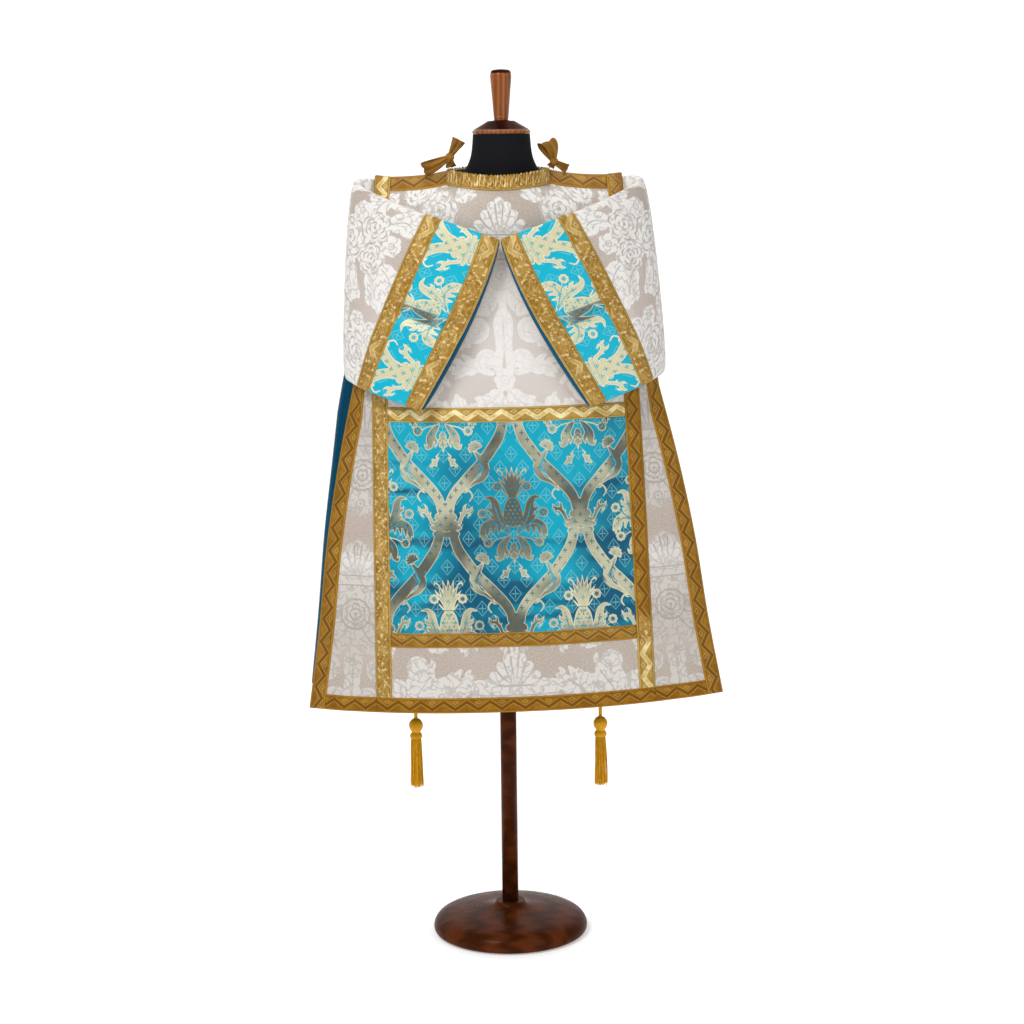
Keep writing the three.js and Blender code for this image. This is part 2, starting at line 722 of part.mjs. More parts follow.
// The rope round the waist, with the knot on each side from which an end hangs.
function girdleLoop() {
  const skin = new Skin();
  const ids = Array.from({ length: WAIST_STEPS }, (_, i) => {
    const p = waistPoint((2 * Math.PI * i) / WAIST_STEPS);
    const out = p.clone().setZ(0).normalize();
    return circle(CORD / 2, CORD_SIDES).map((c) =>
      skin.add(p.clone().addScaledVector(out, c.x).add(new THREE.Vector3(0, 0, c.y))),
    );
  });
  ids.forEach((ring, i) => {
    const next = ids[(i + 1) % WAIST_STEPS];
    ring.forEach((id, j) => {
      const k = (j + 1) % CORD_SIDES;
      skin.quad(id, ring[k], next[k], next[j]);
    });
  });
  const knots = Object.values(SIDES).map((sign) => {
    const p = waistPoint(GIRDLE.leave);
    const knot = new THREE.SphereGeometry(CORD, 8, 6).scale(1, 1, 1.3);
    return knot.translate(sign * p.x, p.y, p.z);
  });
  return joined([skin.geometry(), ...knots]);
}

function hangingCord(sign) {
  const leave = waistPoint(GIRDLE.leave);
  const below = leave.z - 1.3 * CORD - SEAM;
  const route = [
    [leave.x, leave.y, below],
    [leave.x + 3, leave.y - 8, below - 30],
    [TASSEL.x - 1, TASSEL.y + 14, below - 85],
    [TASSEL.x, TASSEL.y, below - 150],
    [TASSEL.x, TASSEL.y, below - 300],
    [TASSEL.x, TASSEL.y, TASSEL.top + SEAM],
  ].map(([x, y, z]) => new THREE.Vector3(sign * x, y, z));
  return new THREE.ExtrudeGeometry(new THREE.Shape(circle(CORD / 2, CORD_SIDES)), {
    steps: CORD_STEPS,
    extrudePath: new THREE.CatmullRomCurve3(route),
    bevelEnabled: false,
  });
}

// A turned head with threads that hang apart from under it.
function tassel(sign) {
  const { x, y, top, head, headRadius, length, strands } = TASSEL;
  const profile = [
    [0, 0],
    [4, 0],
    [9, -5],
    [headRadius, -15],
    [headRadius - 1, -24],
    [9, -30],
    [headRadius, -head],
    [headRadius, -head - 5],
    [0, -head - 5],
  ].map(([r, z]) => new THREE.Vector2(r, z));
  const body = new THREE.LatheGeometry(profile.reverse(), 14).rotateX(Math.PI / 2);
  const threads = Array.from({ length: strands }, (_, k) => {
    const ring = k % 3;
    const angle = (2 * Math.PI * k) / strands + ring;
    const radius = 3.4 + 3.7 * ring;
    const at = (spread, z) =>
      circle(1.1, 3).map((c) => {
        const r = radius * spread;
        return new THREE.Vector3(r * Math.cos(angle) + c.x, r * Math.sin(angle) + c.y, z);
      });
    return solidOfRings([at(1, -head - 3), at(1.25, -length)]);
  });
  return joined([body, ...threads]).translate(sign * x, y, top);
}

function addGirdle() {
  add(part, 'girdle', girdleLoop(), GIRDLE_ROPE);
  for (const [side, sign] of Object.entries(SIDES)) {
    add(part, `girdle_end_${side}`, hangingCord(sign), GIRDLE_ROPE);
    add(part, `tassel_${side}`, tassel(sign), GIRDLE_ROPE);
  }
}
addGirdle();

// ---------------------------------------------------------------- dress form

// Rows of the jersey-covered bust, from the neck down. power 2 is an ellipse, less is more pointed.
const BUST = [
  { z: NECK_TOP, halfWidth: 54, halfDepth: 54, power: 2 },
  { z: 1545, halfWidth: 56, halfDepth: 56, power: 2 },
  { z: 1524, halfWidth: 60, halfDepth: 59, power: 2 },
  { z: 1504, halfWidth: 70, halfDepth: 61, power: 1.8 },
  { z: 1492, halfWidth: 86, halfDepth: 64, power: 1.5 },
  { z: 1485, halfWidth: 112, halfDepth: 66, power: 1.3 },
  { z: 1478, halfWidth: 137, halfDepth: 69, power: 1.25 },
  { z: 1467, halfWidth: 164, halfDepth: 75, power: 1.3 },
  { z: 1448, halfWidth: 187, halfDepth: 83, power: 1.45 },
  { z: 1420, halfWidth: 199, halfDepth: 92, power: 1.65 },
  { z: 1390, halfWidth: 206, halfDepth: 103, power: 1.9 },
  { z: 1330, halfWidth: 202, halfDepth: 113, power: 2 },
  { z: 1260, halfWidth: 190, halfDepth: 113, power: 2 },
  { z: 1160, halfWidth: 173, halfDepth: 106, power: 2 },
  { z: 1040, halfWidth: 159, halfDepth: 101, power: 2 },
  { z: 940, halfWidth: 166, halfDepth: 108, power: 2 },
  { z: 850, halfWidth: 175, halfDepth: 116, power: 2 },
  { z: FORM_BOTTOM + 8, halfWidth: 174, halfDepth: 115, power: 2 },
  { z: FORM_BOTTOM, halfWidth: 166, halfDepth: 107, power: 2 },
];
const BUST_SIDES = 26;

function bust() {
  const bend = (value, power) => Math.sign(value) * Math.abs(value) ** (2 / power);
  const rings = BUST.map(({ z, halfWidth, halfDepth, power }) =>
    Array.from({ length: BUST_SIDES }, (_, k) => {
      const a = (2 * Math.PI * k) / BUST_SIDES;
      const x = halfWidth * bend(Math.cos(a), power);
      return new THREE.Vector3(x, halfDepth * bend(Math.sin(a), power), z);
    }),
  );
  return solidOfRings(rings);
}

// Turned pieces: profiles as [radius, height] from the axis round to the axis.
const CAP_PROFILE = [
  [0, 0],
  [54, 0],
  [55, 2],
  [55, 5],
  [52, 8],
  [25, 24],
  [14, 25],
  [14, 30],
  [18, 80],
  [20, 104],
  [19.5, 112],
  [16, 118],
  [0, 120],
];
const BASE_PROFILE = [
  [0, 0],
  [141, 0],
  [150, 4],
  [BASE_RADIUS, 11],
  [151, 21],
  [143, 31],
  [126, 38],
  [92, 44],
  [52, 49],
  [34, 54],
  [28, 62],
  [0, 62],
];
const BASE_TOP = 62;
const TURNED_SIDES = 28;

function turned(profile, height) {
  const points = profile.map(([r, z]) => new THREE.Vector2(r, z));
  return new THREE.LatheGeometry(points, TURNED_SIDES).rotateX(Math.PI / 2).translate(0, 0, height);
}

function addForm() {
  add(part, 'bust', bust(), BLACK_JERSEY);
  add(part, 'neck_cap', turned(CAP_PROFILE, NECK_TOP + SEAM), WOOD);
  const poleLength = FORM_BOTTOM - BASE_TOP - 2 * SEAM;
  const pole = new THREE.CylinderGeometry(POLE_RADIUS, POLE_RADIUS, poleLength, 20)
    .rotateX(Math.PI / 2)
    .translate(0, 0, BASE_TOP + SEAM + poleLength / 2);
  add(part, 'pole', pole, WOOD);
  add(part, 'base', turned(BASE_PROFILE, 0), WOOD);
}
addForm();

export default part;
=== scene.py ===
# A Roman tunicle of pale damask and turquoise lampas, laid over a limbless dress form.
# Lengths are millimetres, and mesh_of() turns them into the scene's metres. The camera, the lamps and
# the cloths' own flat places are in metres.
# +Z is up, the wearer faces -Y, and +X is the wearer's left.
import math

import bpy
import numpy as np
from mathutils import Matrix, Vector


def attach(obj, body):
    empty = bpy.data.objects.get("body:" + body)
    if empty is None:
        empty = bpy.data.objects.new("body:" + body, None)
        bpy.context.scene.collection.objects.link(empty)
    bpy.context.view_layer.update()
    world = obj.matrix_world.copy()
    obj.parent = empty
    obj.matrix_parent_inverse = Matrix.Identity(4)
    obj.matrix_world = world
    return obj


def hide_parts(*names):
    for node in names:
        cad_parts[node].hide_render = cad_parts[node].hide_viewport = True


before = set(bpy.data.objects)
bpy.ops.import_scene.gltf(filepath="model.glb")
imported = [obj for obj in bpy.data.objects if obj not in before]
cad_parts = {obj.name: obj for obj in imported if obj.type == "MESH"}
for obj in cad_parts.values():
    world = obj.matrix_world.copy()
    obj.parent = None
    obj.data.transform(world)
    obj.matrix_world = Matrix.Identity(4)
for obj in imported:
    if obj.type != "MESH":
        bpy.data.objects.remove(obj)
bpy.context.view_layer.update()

# ---------------------------------------------------------------- Camera
# A long lens at the height of the shoulders, tipped down. It leans by two thirds of a degree, so
# that the form's axis isn't quite upright in the frame.
CAMERA_PLACE = (0.012, -4.3, 1.55)
CAMERA_DIP = math.radians(9.3)
CAMERA_LEAN = math.radians(-0.65)

camera = bpy.data.objects.new("camera", bpy.data.cameras.new("camera"))
bpy.context.scene.collection.objects.link(camera)
camera.data.lens = 78.9
camera.data.sensor_width = 36.0
camera.matrix_world = (
    Matrix.Translation(CAMERA_PLACE)
    @ Matrix.Rotation(math.pi / 2 - CAMERA_DIP, 4, "X")
    @ Matrix.Rotation(CAMERA_LEAN, 4, "Z")
)
bpy.context.scene.camera = camera
bpy.context.scene.view_settings.view_transform = "Standard"

# ---------------------------------------------------------------- Dress form
# A man's bust covered in black jersey, with a turned and varnished cap and handle on its neck. A
# plain pole carries it on a heavy turned base.
NECK_TOP, BASE_TOP, FORM_BOTTOM, POLE_RADIUS = 1570.0, 62.0, 800.0, 16.0
# Rings of the bust: height, half width, half depth, and the power of the ring's curve.
BUST = [
    (1570, 54, 54, 2.0),
    (1545, 56, 56, 2.0),
    (1524, 60, 59, 2.0),
    (1504, 70, 61, 1.8),
    (1492, 86, 64, 1.5),
    (1485, 112, 66, 1.3),
    (1478, 137, 69, 1.25),
    (1467, 164, 75, 1.3),
    (1448, 187, 83, 1.45),
    (1420, 199, 92, 1.65),
    (1390, 206, 103, 1.9),
    (1330, 202, 113, 2.0),
    (1260, 190, 113, 2.0),
    (1160, 173, 106, 2.0),
    (1040, 159, 101, 2.0),
    (940, 166, 108, 2.0),
    (850, 175, 116, 2.0),
    (808, 174, 115, 2.0),
    (800, 166, 107, 2.0),
]
# Outlines of the turned parts: radius and height.
CAP = [(0.1, 0), (54, 0), (55, 2), (55, 5), (52, 8), (25, 24), (14, 25), (14, 30)]
HANDLE = [(14, 30), (18, 80), (20, 104), (19.5, 112), (16, 118), (0.1, 120)]
BASE = [(0.1, 0), (141, 0), (150, 4), (153, 11), (151, 21), (143, 31), (126, 38), (92, 44)]
BASE_STEM = [(92, 44), (52, 49), (34, 54), (28, 62), (0.1, 62)]
BLACK = (0.003, 0.003, 0.004, 1), (0.011, 0.011, 0.014, 1)
CHERRY = (0.19, 0.052, 0.010, 1), (0.31, 0.098, 0.024, 1)
DARK_STAIN = (0.016, 0.003, 0.001, 1), (0.05, 0.01, 0.002, 1)
MAHOGANY = (0.045, 0.010, 0.002, 1), (0.10, 0.023, 0.005, 1)
# Room left between two pieces that meet.
SEAM = 0.3


def mesh_of(name, points, faces, material, fields=None):
    """A smooth-shaded mesh from points in millimetres. fields are values kept at its points."""
    mesh = bpy.data.meshes.new(name)
    points = np.asarray(points, float).reshape(-1, 3)
    mesh.vertices.add(len(points))
    mesh.vertices.foreach_set("co", (points / 1000).ravel())
    sizes = np.array([len(face) for face in faces])
    mesh.loops.add(int(sizes.sum()))
    mesh.loops.foreach_set("vertex_index", np.concatenate([np.asarray(f) for f in faces]).astype(np.int32))
    mesh.polygons.add(len(faces))
    mesh.polygons.foreach_set("loop_start", np.concatenate([[0], np.cumsum(sizes)[:-1]]).astype(np.int32))
    mesh.polygons.foreach_set("use_smooth", np.ones(len(faces), bool))
    for key, values in (fields or {}).items():
        values = np.asarray(values, np.float32)
        flat = values.ndim == 1
        attribute = mesh.attributes.new(key, "FLOAT" if flat else "FLOAT_VECTOR", "POINT")
        attribute.data.foreach_set("value" if flat else "vector", values.ravel())
    mesh.materials.append(material)
    mesh.update(calc_edges=True)
    obj = bpy.data.objects.new(name, mesh)
    bpy.context.scene.collection.objects.link(obj)
    return obj


def tube_faces(rings, around, closed=False):
    """Faces of a tube of rings, with a flat end on each side unless it closes on itself."""
    i, j = np.meshgrid(np.arange(rings if closed else rings - 1), np.arange(around), indexing="ij")
    k, n = (i + 1) % rings, (j + 1) % around
    quads = np.stack([i * around + j, i * around + n, k * around + n, k * around + j], -1)
    faces = list(quads.reshape(-1, 4))
    if not closed:
        faces.append(np.arange(around)[::-1])
        faces.append((rings - 1) * around + np.arange(around))
    return faces


def full_turn(count):
    """Angles spread evenly round a circle."""
    return np.linspace(0, 2 * math.pi, count, endpoint=False)


def distances(points):
    """Distance along a line of points, from its start."""
    return np.concatenate([[0], np.cumsum(np.linalg.norm(np.diff(points, axis=0), axis=1))])


def curve_between(a, b, c, d, t):
    """A smooth curve from b to c at shares t, with a before them and d after them."""
    return b + 0.5 * t * (c - a + t * (2 * a - 5 * b + 4 * c - d + t * (3 * (b - c) + d - a)))


def through(points, count):
    """count points spread evenly along a smooth curve through the given ones."""
    p = np.asarray(points, float)
    p = np.vstack([2 * p[0] - p[1], p, 2 * p[-1] - p[-2]])
    t = np.linspace(0, len(p) - 3, 40 * len(p))
    i = np.minimum(t.astype(int), len(p) - 4)
    t = (t - i)[:, None]
    fine = curve_between(p[i], p[i + 1], p[i + 2], p[i + 3], t)
    run = distances(fine)
    even = np.linspace(0, run[-1], count)
    return np.stack([np.interp(even, run, fine[:, k]) for k in range(fine.shape[1])], -1)


def turned_points(profile, around):
    """Rings of a turned piece. profile is a list of (radius, height)."""
    angle = full_turn(around)
    r, z = np.asarray(profile, float).T
    z = np.repeat(z[:, None], around, 1)
    return np.stack([r[:, None] * np.cos(angle), r[:, None] * np.sin(angle), z], -1)


def new_material(name):
    material = bpy.data.materials.new(name)
    material.use_nodes = True
    tree = material.node_tree
    return material, tree, tree.nodes["Principled BSDF"]


def wire(tree, kind, inputs=None, **settings):
    """A shader node with its settings and inputs. An input is a value or another node's output."""
    node = tree.nodes.new(kind)
    for key, value in settings.items():
        setattr(node, key, value)
    for key, value in (inputs or {}).items():
        if isinstance(value, bpy.types.NodeSocket):
            tree.links.new(value, node.inputs[key])
        else:
            node.inputs[key].default_value = value
    return node


def maths(tree, operation, a, b=0.0, c=0.0):
    node = wire(tree, "ShaderNodeMath", {0: a, 1: b, 2: c}, operation=operation)
    return node.outputs[0]


def blend_colours(tree, share, a, b):
    node = wire(tree, "ShaderNodeMix", {0: share, 6: a, 7: b}, data_type="RGBA")
    return node.outputs[2]


def between(tree, value, low, high, to_low=0.0, to_high=1.0):
    """value mapped from low..high to to_low..to_high, with soft ends."""
    inputs = {0: value, 1: low, 2: high, 3: to_low, 4: to_high}
    return wire(tree, "ShaderNodeMapRange", inputs, interpolation_type="SMOOTHSTEP").outputs[0]


def noise(tree, vector, scale, detail=3.0, roughness=0.55):
    inputs = {"Vector": vector, "Scale": scale, "Detail": detail, "Roughness": roughness}
    return wire(tree, "ShaderNodeTexNoise", inputs).outputs[0]


def stretched(tree, place, scale):
    """Places drawn out along an axis, so that a noise on them runs in streaks."""
    return wire(tree, "ShaderNodeMapping", {"Vector": place, "Scale": scale}).outputs[0]


def surface(tree, bsdf, colour, roughness, height=None, distance=0.0005, **plain):
    """Feeds a Principled BSDF. plain values are set on its own sockets."""
    for socket, value in (("Base Color", colour), ("Roughness", roughness)):
        if isinstance(value, bpy.types.NodeSocket):
            tree.links.new(value, bsdf.inputs[socket])
        else:
            bsdf.inputs[socket].default_value = value
    if height is not None:
        bump = wire(tree, "ShaderNodeBump", {"Height": height, "Distance": distance, "Strength": 1.0})
        tree.links.new(bump.outputs[0], bsdf.inputs["Normal"])
    for socket, value in plain.items():
        bsdf.inputs[socket.replace("_", " ")].default_value = value


def put_in_place(piece, node):
    """The piece stands in for one solid of the frame, and is fixed to the one body."""
    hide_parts(node)
    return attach(piece, "root")


def jersey_material():
    """Fine ribbed knit."""
    material, tree, bsdf = new_material("black_jersey")
    place = wire(tree, "ShaderNodeTexCoord").outputs["Object"]
    knit_rows = {"Vector": place, "Scale": 260.0, "Distortion": 1.2}
    rib = wire(tree, "ShaderNodeTexWave", knit_rows, bands_direction="Z")
    fuzz = noise(tree, place, 900.0)
    colour = blend_colours(tree, fuzz, *BLACK)
    knit = maths(tree, "MULTIPLY_ADD", fuzz, 0.6, rib.outputs["Fac"])
    surface(tree, bsdf, colour, 0.9, knit, 0.0002, Specular_IOR_Level=0.15)
    return material


def wood_material(name, dark, light, coat, shine, upright=True):
    """Stained wood, with its grain upright or across. coat is how much varnish is on it."""
    material, tree, bsdf = new_material(name)
    place = wire(tree, "ShaderNodeTexCoord").outputs["Object"]
    along = stretched(tree, place, (14.0, 14.0, 1.4) if upright else (1.6, 12.0, 12.0))
    rings = wire(tree, "ShaderNodeTexWave", {"Vector": along, "Scale": 2.6, "Distortion": 7.0, "Detail": 4.0})
    pores = noise(tree, along, 16.0, 3.0)
    colour = blend_colours(tree, rings.outputs["Fac"], dark, light)
    colour = blend_colours(tree, between(tree, pores, 0.5, 0.75, 0.0, 0.15), colour, dark)
    worn = between(tree, noise(tree, place, 22.0), 0.3, 0.8, 0.26, 0.36)
    plain = {"Specular_IOR_Level": shine, "Coat_Weight": coat, "Coat_Roughness": 0.12}
    surface(tree, bsdf, colour, worn, pores, 0.00003, **plain)
    return material


JERSEY = jersey_material()
CAP_WOOD = wood_material("cap_wood", *CHERRY, 0.3, 0.15)
CONE_WOOD = wood_material("cone_wood", *DARK_STAIN, 0.0, 0.02, upright=False)
BASE_WOOD = wood_material("base_wood", *MAHOGANY, 0.02, 0.03, upright=False)


def form_piece(name, points, material, node, downwards=False):
    """A piece of rings of points, which run up it, or down it where downwards is set."""
    piece = mesh_of(name, points, tube_faces(*points.shape[:2]), material)
    if downwards:
        piece.data.flip_normals()
    return put_in_place(piece, node)


def squared(value, power):
    """A sine or a cosine bent so that its curve has the given power: 2 gives an ellipse."""
    return np.sign(value) * np.abs(value) ** (2 / power)


def bust_points(around=120):
    """Rings down the bust, closed at both ends."""
    rows = np.array(BUST, float)
    neck = through(rows, 150)
    neck[0], neck[-1] = rows[0], rows[-1]
    angle = full_turn(around)
    z, width, depth, power = (column[:, None] for column in neck.T)
    x = width * squared(np.cos(angle)[None], power)
    y = depth * squared(np.sin(angle)[None], power)
    body = np.stack([x, y, np.repeat(z, around, 1)], -1)
    shut = (0.001, 0.001, 1)
    return np.concatenate([body[:1] * shut, body, body[-1:] * shut])


def smooth_profile(*stretches):
    """Stretches of an outline, each smooth, with a sharp corner where two meet."""
    return np.vstack([through(stretch, 4 * len(stretch)) for stretch in stretches])


form_piece("jersey_bust", bust_points(), JERSEY, "bust", downwards=True)
cap = turned_points(smooth_profile(CAP[:2], CAP[1:5], CAP[4:6], CAP[5:], HANDLE), 96)
cap[..., 2] += NECK_TOP + SEAM
cap_piece = form_piece("turned_cap", cap, CAP_WOOD, "neck_cap")
cap_piece.data.materials.append(CONE_WOOD)
# The cone above the rim and the handle's end are stained darker than its sides.
for face in cap_piece.data.polygons:
    up = face.center.z * 1000 - NECK_TOP
    face.material_index = int(face.normal.z > 0.3 and (8 < up < 26 or up > 114))
base = turned_points(smooth_profile(BASE[:2], BASE[1:], BASE_STEM[:4], BASE_STEM[3:]), 128)
form_piece("turned_base", base, BASE_WOOD, "base")
pole_low, pole_high = BASE_TOP + SEAM, FORM_BOTTOM - SEAM
pole_ends = [(0.1, pole_low), (POLE_RADIUS, pole_low), (POLE_RADIUS, pole_high), (0.1, pole_high)]
form_piece("turned_pole", turned_points(pole_ends, 48), BASE_WOOD, "pole")

# ---------------------------------------------------------------- Girdle
# A twisted silk rope round the form's waist, under the garment. An end hangs from a knot on each
# side and comes out below the hem in a tassel, whose turned head holds a skirt of loose threads.
SIDES = {"left": 1, "right": -1}
CORD, ROPE_LAY, ROPE_SIDES = 7.0, 17.0, 18
WAIST = {"height": 1015.0, "half_width": 168.0, "half_depth": 110.0, "leave": math.radians(-22)}
GIRDLE_KNOT = [(0.1, 9), (4, 8), (6.6, 4), (6.9, 0), (6.6, -4), (4, -8), (0.1, -9)]
TASSEL = {"x": 178.0, "y": -92.0, "top": 462.0}
THREADS, THREAD_ROOT = 96, -38.0


def rope_material():
    """Orange silk with paler threads, whose streaks are a painted highlight of its sheen."""
    material, tree, bsdf = new_material("girdle_silk")
    place = wire(tree, "ShaderNodeTexCoord").outputs["Object"]
    thread = noise(tree, stretched(tree, place, (1.0, 1.0, 0.12)), 1400.0, 2.0)
    tone = noise(tree, place, 60.0)
    colour = blend_colours(tree, tone, (0.50, 0.20, 0.002, 1), (0.78, 0.38, 0.008, 1))
    colour = blend_colours(tree, between(tree, thread, 0.45, 0.7), colour, (0.92, 0.52, 0.03, 1))
    surface(tree, bsdf, colour, 0.5, thread, 0.0006, Specular_IOR_Level=0.12)
    return material


ROPE = rope_material()


def rope(name, route, closed=False):
    """A three-strand twisted rope along a route of points."""
    route = np.asarray(route)
    after, before = np.roll(route, -1, 0), np.roll(route, 1, 0)
    if not closed:
        after[-1], before[0] = route[-1], route[0]
    ahead = after - before
    ahead /= np.linalg.norm(ahead, axis=1)[:, None]
    side = np.cross(ahead, (0.0, 1.0, 0.0) if abs(ahead[0, 2]) > 0.7 else (0.0, 0.0, 1.0))
    side /= np.linalg.norm(side, axis=1)[:, None]
    up = np.cross(side, ahead)
    angle = full_turn(ROPE_SIDES)[None, :]
    lay = 2 * math.pi * distances(route)[:, None] / ROPE_LAY
    radius = CORD / 2 * (0.82 + 0.18 * np.abs(np.cos(1.5 * (angle - lay))))
    ring = side[:, None] * np.cos(angle)[..., None] + up[:, None] * np.sin(angle)[..., None]
    points = route[:, None] + ring * radius[..., None]
    return mesh_of(name, points, tube_faces(len(route), ROPE_SIDES, closed), ROPE)


def tassel(side, sign):
    """A turned and wound head, and a skirt of threads with their roots inside it."""
    steps = np.linspace(0, 1, 22)
    outline = [(0.05, 0), (3.2, -0.2), (4.2, -2.5), (8.5, -5), (12.4, -11), (13, -17), (11.5, -23)]
    outline += [(8.2, -28), (8.0, -30), (10.6, -33), (11.4, -37), (10.0, -41), (0.05, -41)]
    profile = through(outline, 40)
    head = turned_points(profile, 36)
    wound = 1 + 0.03 * np.cos(18 * full_turn(36))
    head[..., :2] *= wound[None, :, None]
    points, faces, total = [head.reshape(-1, 3)], list(tube_faces(len(profile), 36)), head.size // 3
    random = np.random.default_rng(5 + sign)
    for k in range(THREADS):
        angle = 2.4 * k
        root = 2.2 + 2.1 * (k % 4)
        spread = root * random.uniform(1.15, 1.5) + 1.0
        curl = random.uniform(-0.25, 0.25)
        length = random.uniform(96, 100)
        reach = root + (spread - root) * steps**0.6 + 0.5 * np.sin(5 * steps + k)
        turn = angle + curl * steps
        line = np.stack([reach * np.cos(turn), reach * np.sin(turn), THREAD_ROOT - length * steps], -1)
        corner = full_turn(4) + k
        thick = (0.95 - 0.25 * steps)[:, None]
        tube = line[:, None].repeat(4, 1)
        tube[..., 0] += thick * np.cos(corner)
        tube[..., 1] += thick * np.sin(corner)
        points.append(tube.reshape(-1, 3))
        faces += [face + total for face in tube_faces(len(steps), 4)]
        total += tube.size // 3
    points = np.vstack(points) + (sign * TASSEL["x"], TASSEL["y"], TASSEL["top"])
    piece = mesh_of(f"tassel_threads_{side}", points, faces, ROPE)
    return put_in_place(piece, f"tassel_{side}")


def waist_point(angle):
    return (WAIST["half_width"] * math.cos(angle), WAIST["half_depth"] * math.sin(angle), WAIST["height"])


round_waist = [waist_point(angle) for angle in full_turn(420)]
put_in_place(rope("girdle_rope", round_waist, closed=True), "girdle")

leave_x, leave_y, leave_z = waist_point(WAIST["leave"])
below = leave_z - 1.3 * CORD - SEAM
for side, sign in SIDES.items():
    knot_points = turned_points(through(GIRDLE_KNOT, 14), 24) + (sign * leave_x, leave_y, leave_z)
    knot = mesh_of(f"girdle_knot_{side}", knot_points, tube_faces(14, 24), ROPE)
    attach(knot, "root")
    skirt = tassel(side, sign)
    # From the knot it leans out to the tassel's place, and then hangs straight.
    hang_x, hang_y = TASSEL["x"], TASSEL["y"]
    stops = [
        (leave_x, leave_y, below),
        (leave_x + 3, leave_y - 8, below - 30),
        (hang_x - 1, hang_y + 14, below - 85),
        (hang_x, hang_y, below - 150),
        (hang_x, hang_y, below - 300),
        (hang_x, hang_y, TASSEL["top"] + SEAM),
    ]
    route = through(np.array(stops) * (sign, 1, 1), 260)
    end = put_in_place(rope(f"girdle_hanging_{side}", route), f"girdle_end_{side}")

# ---------------------------------------------------------------- Front and back
# Each is one length of damask with interlining, seamed on the shoulders and open at the sides. A
# narrow wedge is set on beyond each upright braid, from the armhole to the hem. Both are lined
# with plain dark blue twill.
CLOTH, LINING, BRAID = 1.6, 1.0, 30.0
NECK_HEIGHT, SHOULDER_HEIGHT, HEM_HEIGHT = 1503.0, 1491.0, 497.0
SHOULDER_HALF, NECK_HALF = 234.0, 94.0
SHOULDER_ROLL, ROLL_SHAPE, WRAP = 100.0, 2.6, 2.2
CHEST_BAND_TOP, LOWER_BAND_TOP, WING_START = 1068.0, 648.0, 1290.0
# The back hangs a little to one side, below the wedges' tops.
SHIFT_DROP = 250.0
# How far sideways the garment hangs at its shoulders and at its hem, and how its hem slopes.
OFF_AT_SHOULDERS, OFF_AT_HEM = -7.0, 16.0
HEM_RISE = math.tan(math.radians(1.6))
# Levels of a hanging panel: height, half width, and how far off the shoulder line its middle and
# its side edges hang.
LEVELS = {
    "front": [
        (1491, 236, 100, 6),
        (1450, 237, 112, 44),
        (1385, 240, 124, 58),
        (1290, 252, 133, 60),
        (1200, 264, 140, 62),
        (1100, 289, 147, 65),
        (950, 324, 158, 72),
        (800, 352, 170, 80),
        (650, 372, 182, 90),
        (497, 397, 194, 102),
    ],
    "back": [
        (1491, 236, 92, 6),
        (1450, 237, 108, 44),
        (1385, 240, 123, 58),
        (1290, 262, 130, 66),
        (1200, 288, 132, 72),
        (1100, 308, 134, 76),
        (950, 332, 142, 82),
        (800, 356, 154, 88),
        (650, 375, 167, 95),
        (497, 397, 180, 104),
    ],
}
PANELS = {
    "front": {"facing": -1, "shift": 0.0, "neck_depth": 98.0, "neck_dip": 10.0},
    "back": {"facing": 1, "shift": -14.0, "neck_depth": 74.0, "neck_dip": -6.0},
}
# Height, and how far off the middle an upright braid's own middle runs.
BRAID_LINE = [(1491, 219), (1100, 236), (497, 250)]


def smooth(rows, column, height):
    """A column of a table at some heights, on a smooth curve through its rows, which run downwards."""
    table = np.array(rows, float)
    z, value, last = table[:, 0], table[:, column], len(table) - 1
    up, down = np.minimum(np.arange(last + 1) + 1, last), np.maximum(np.arange(last + 1) - 1, 0)
    slope = (value[up] - value[down]) / (z[up] - z[down])
    height = np.asarray(height, float)
    i = np.clip(np.searchsorted(-z, -height, side="left") - 1, 0, last - 1)
    span = z[i + 1] - z[i]
    t = np.clip((height - z[i]) / span, 0, 1)
    return (
        (2 * t**3 - 3 * t**2 + 1) * value[i]
        + (t**3 - 2 * t**2 + t) * span * slope[i]
        + (3 * t**2 - 2 * t**3) * value[i + 1]
        + (t**3 - t**2) * span * slope[i + 1]
    )


def braid_line(z):
    return smooth(BRAID_LINE, 1, z)


def top_edge(panel, x):
    """How far off the shoulder line, and how high, a panel's top edge runs above x."""
    away = np.abs(x)
    t = np.clip((away - NECK_HALF) / (SHOULDER_HALF - NECK_HALF), 0, 1)
    bow = np.clip(1 - (away / NECK_HALF) ** 2, 0, 1)
    rise = (NECK_HEIGHT - SHOULDER_HEIGHT) * (1 - t) ** 3
    z = np.where(away >= NECK_HALF, SHOULDER_HEIGHT + rise, NECK_HEIGHT - panel["neck_dip"] * bow)
    return 0.05 + panel["neck_depth"] * np.sqrt(bow), z


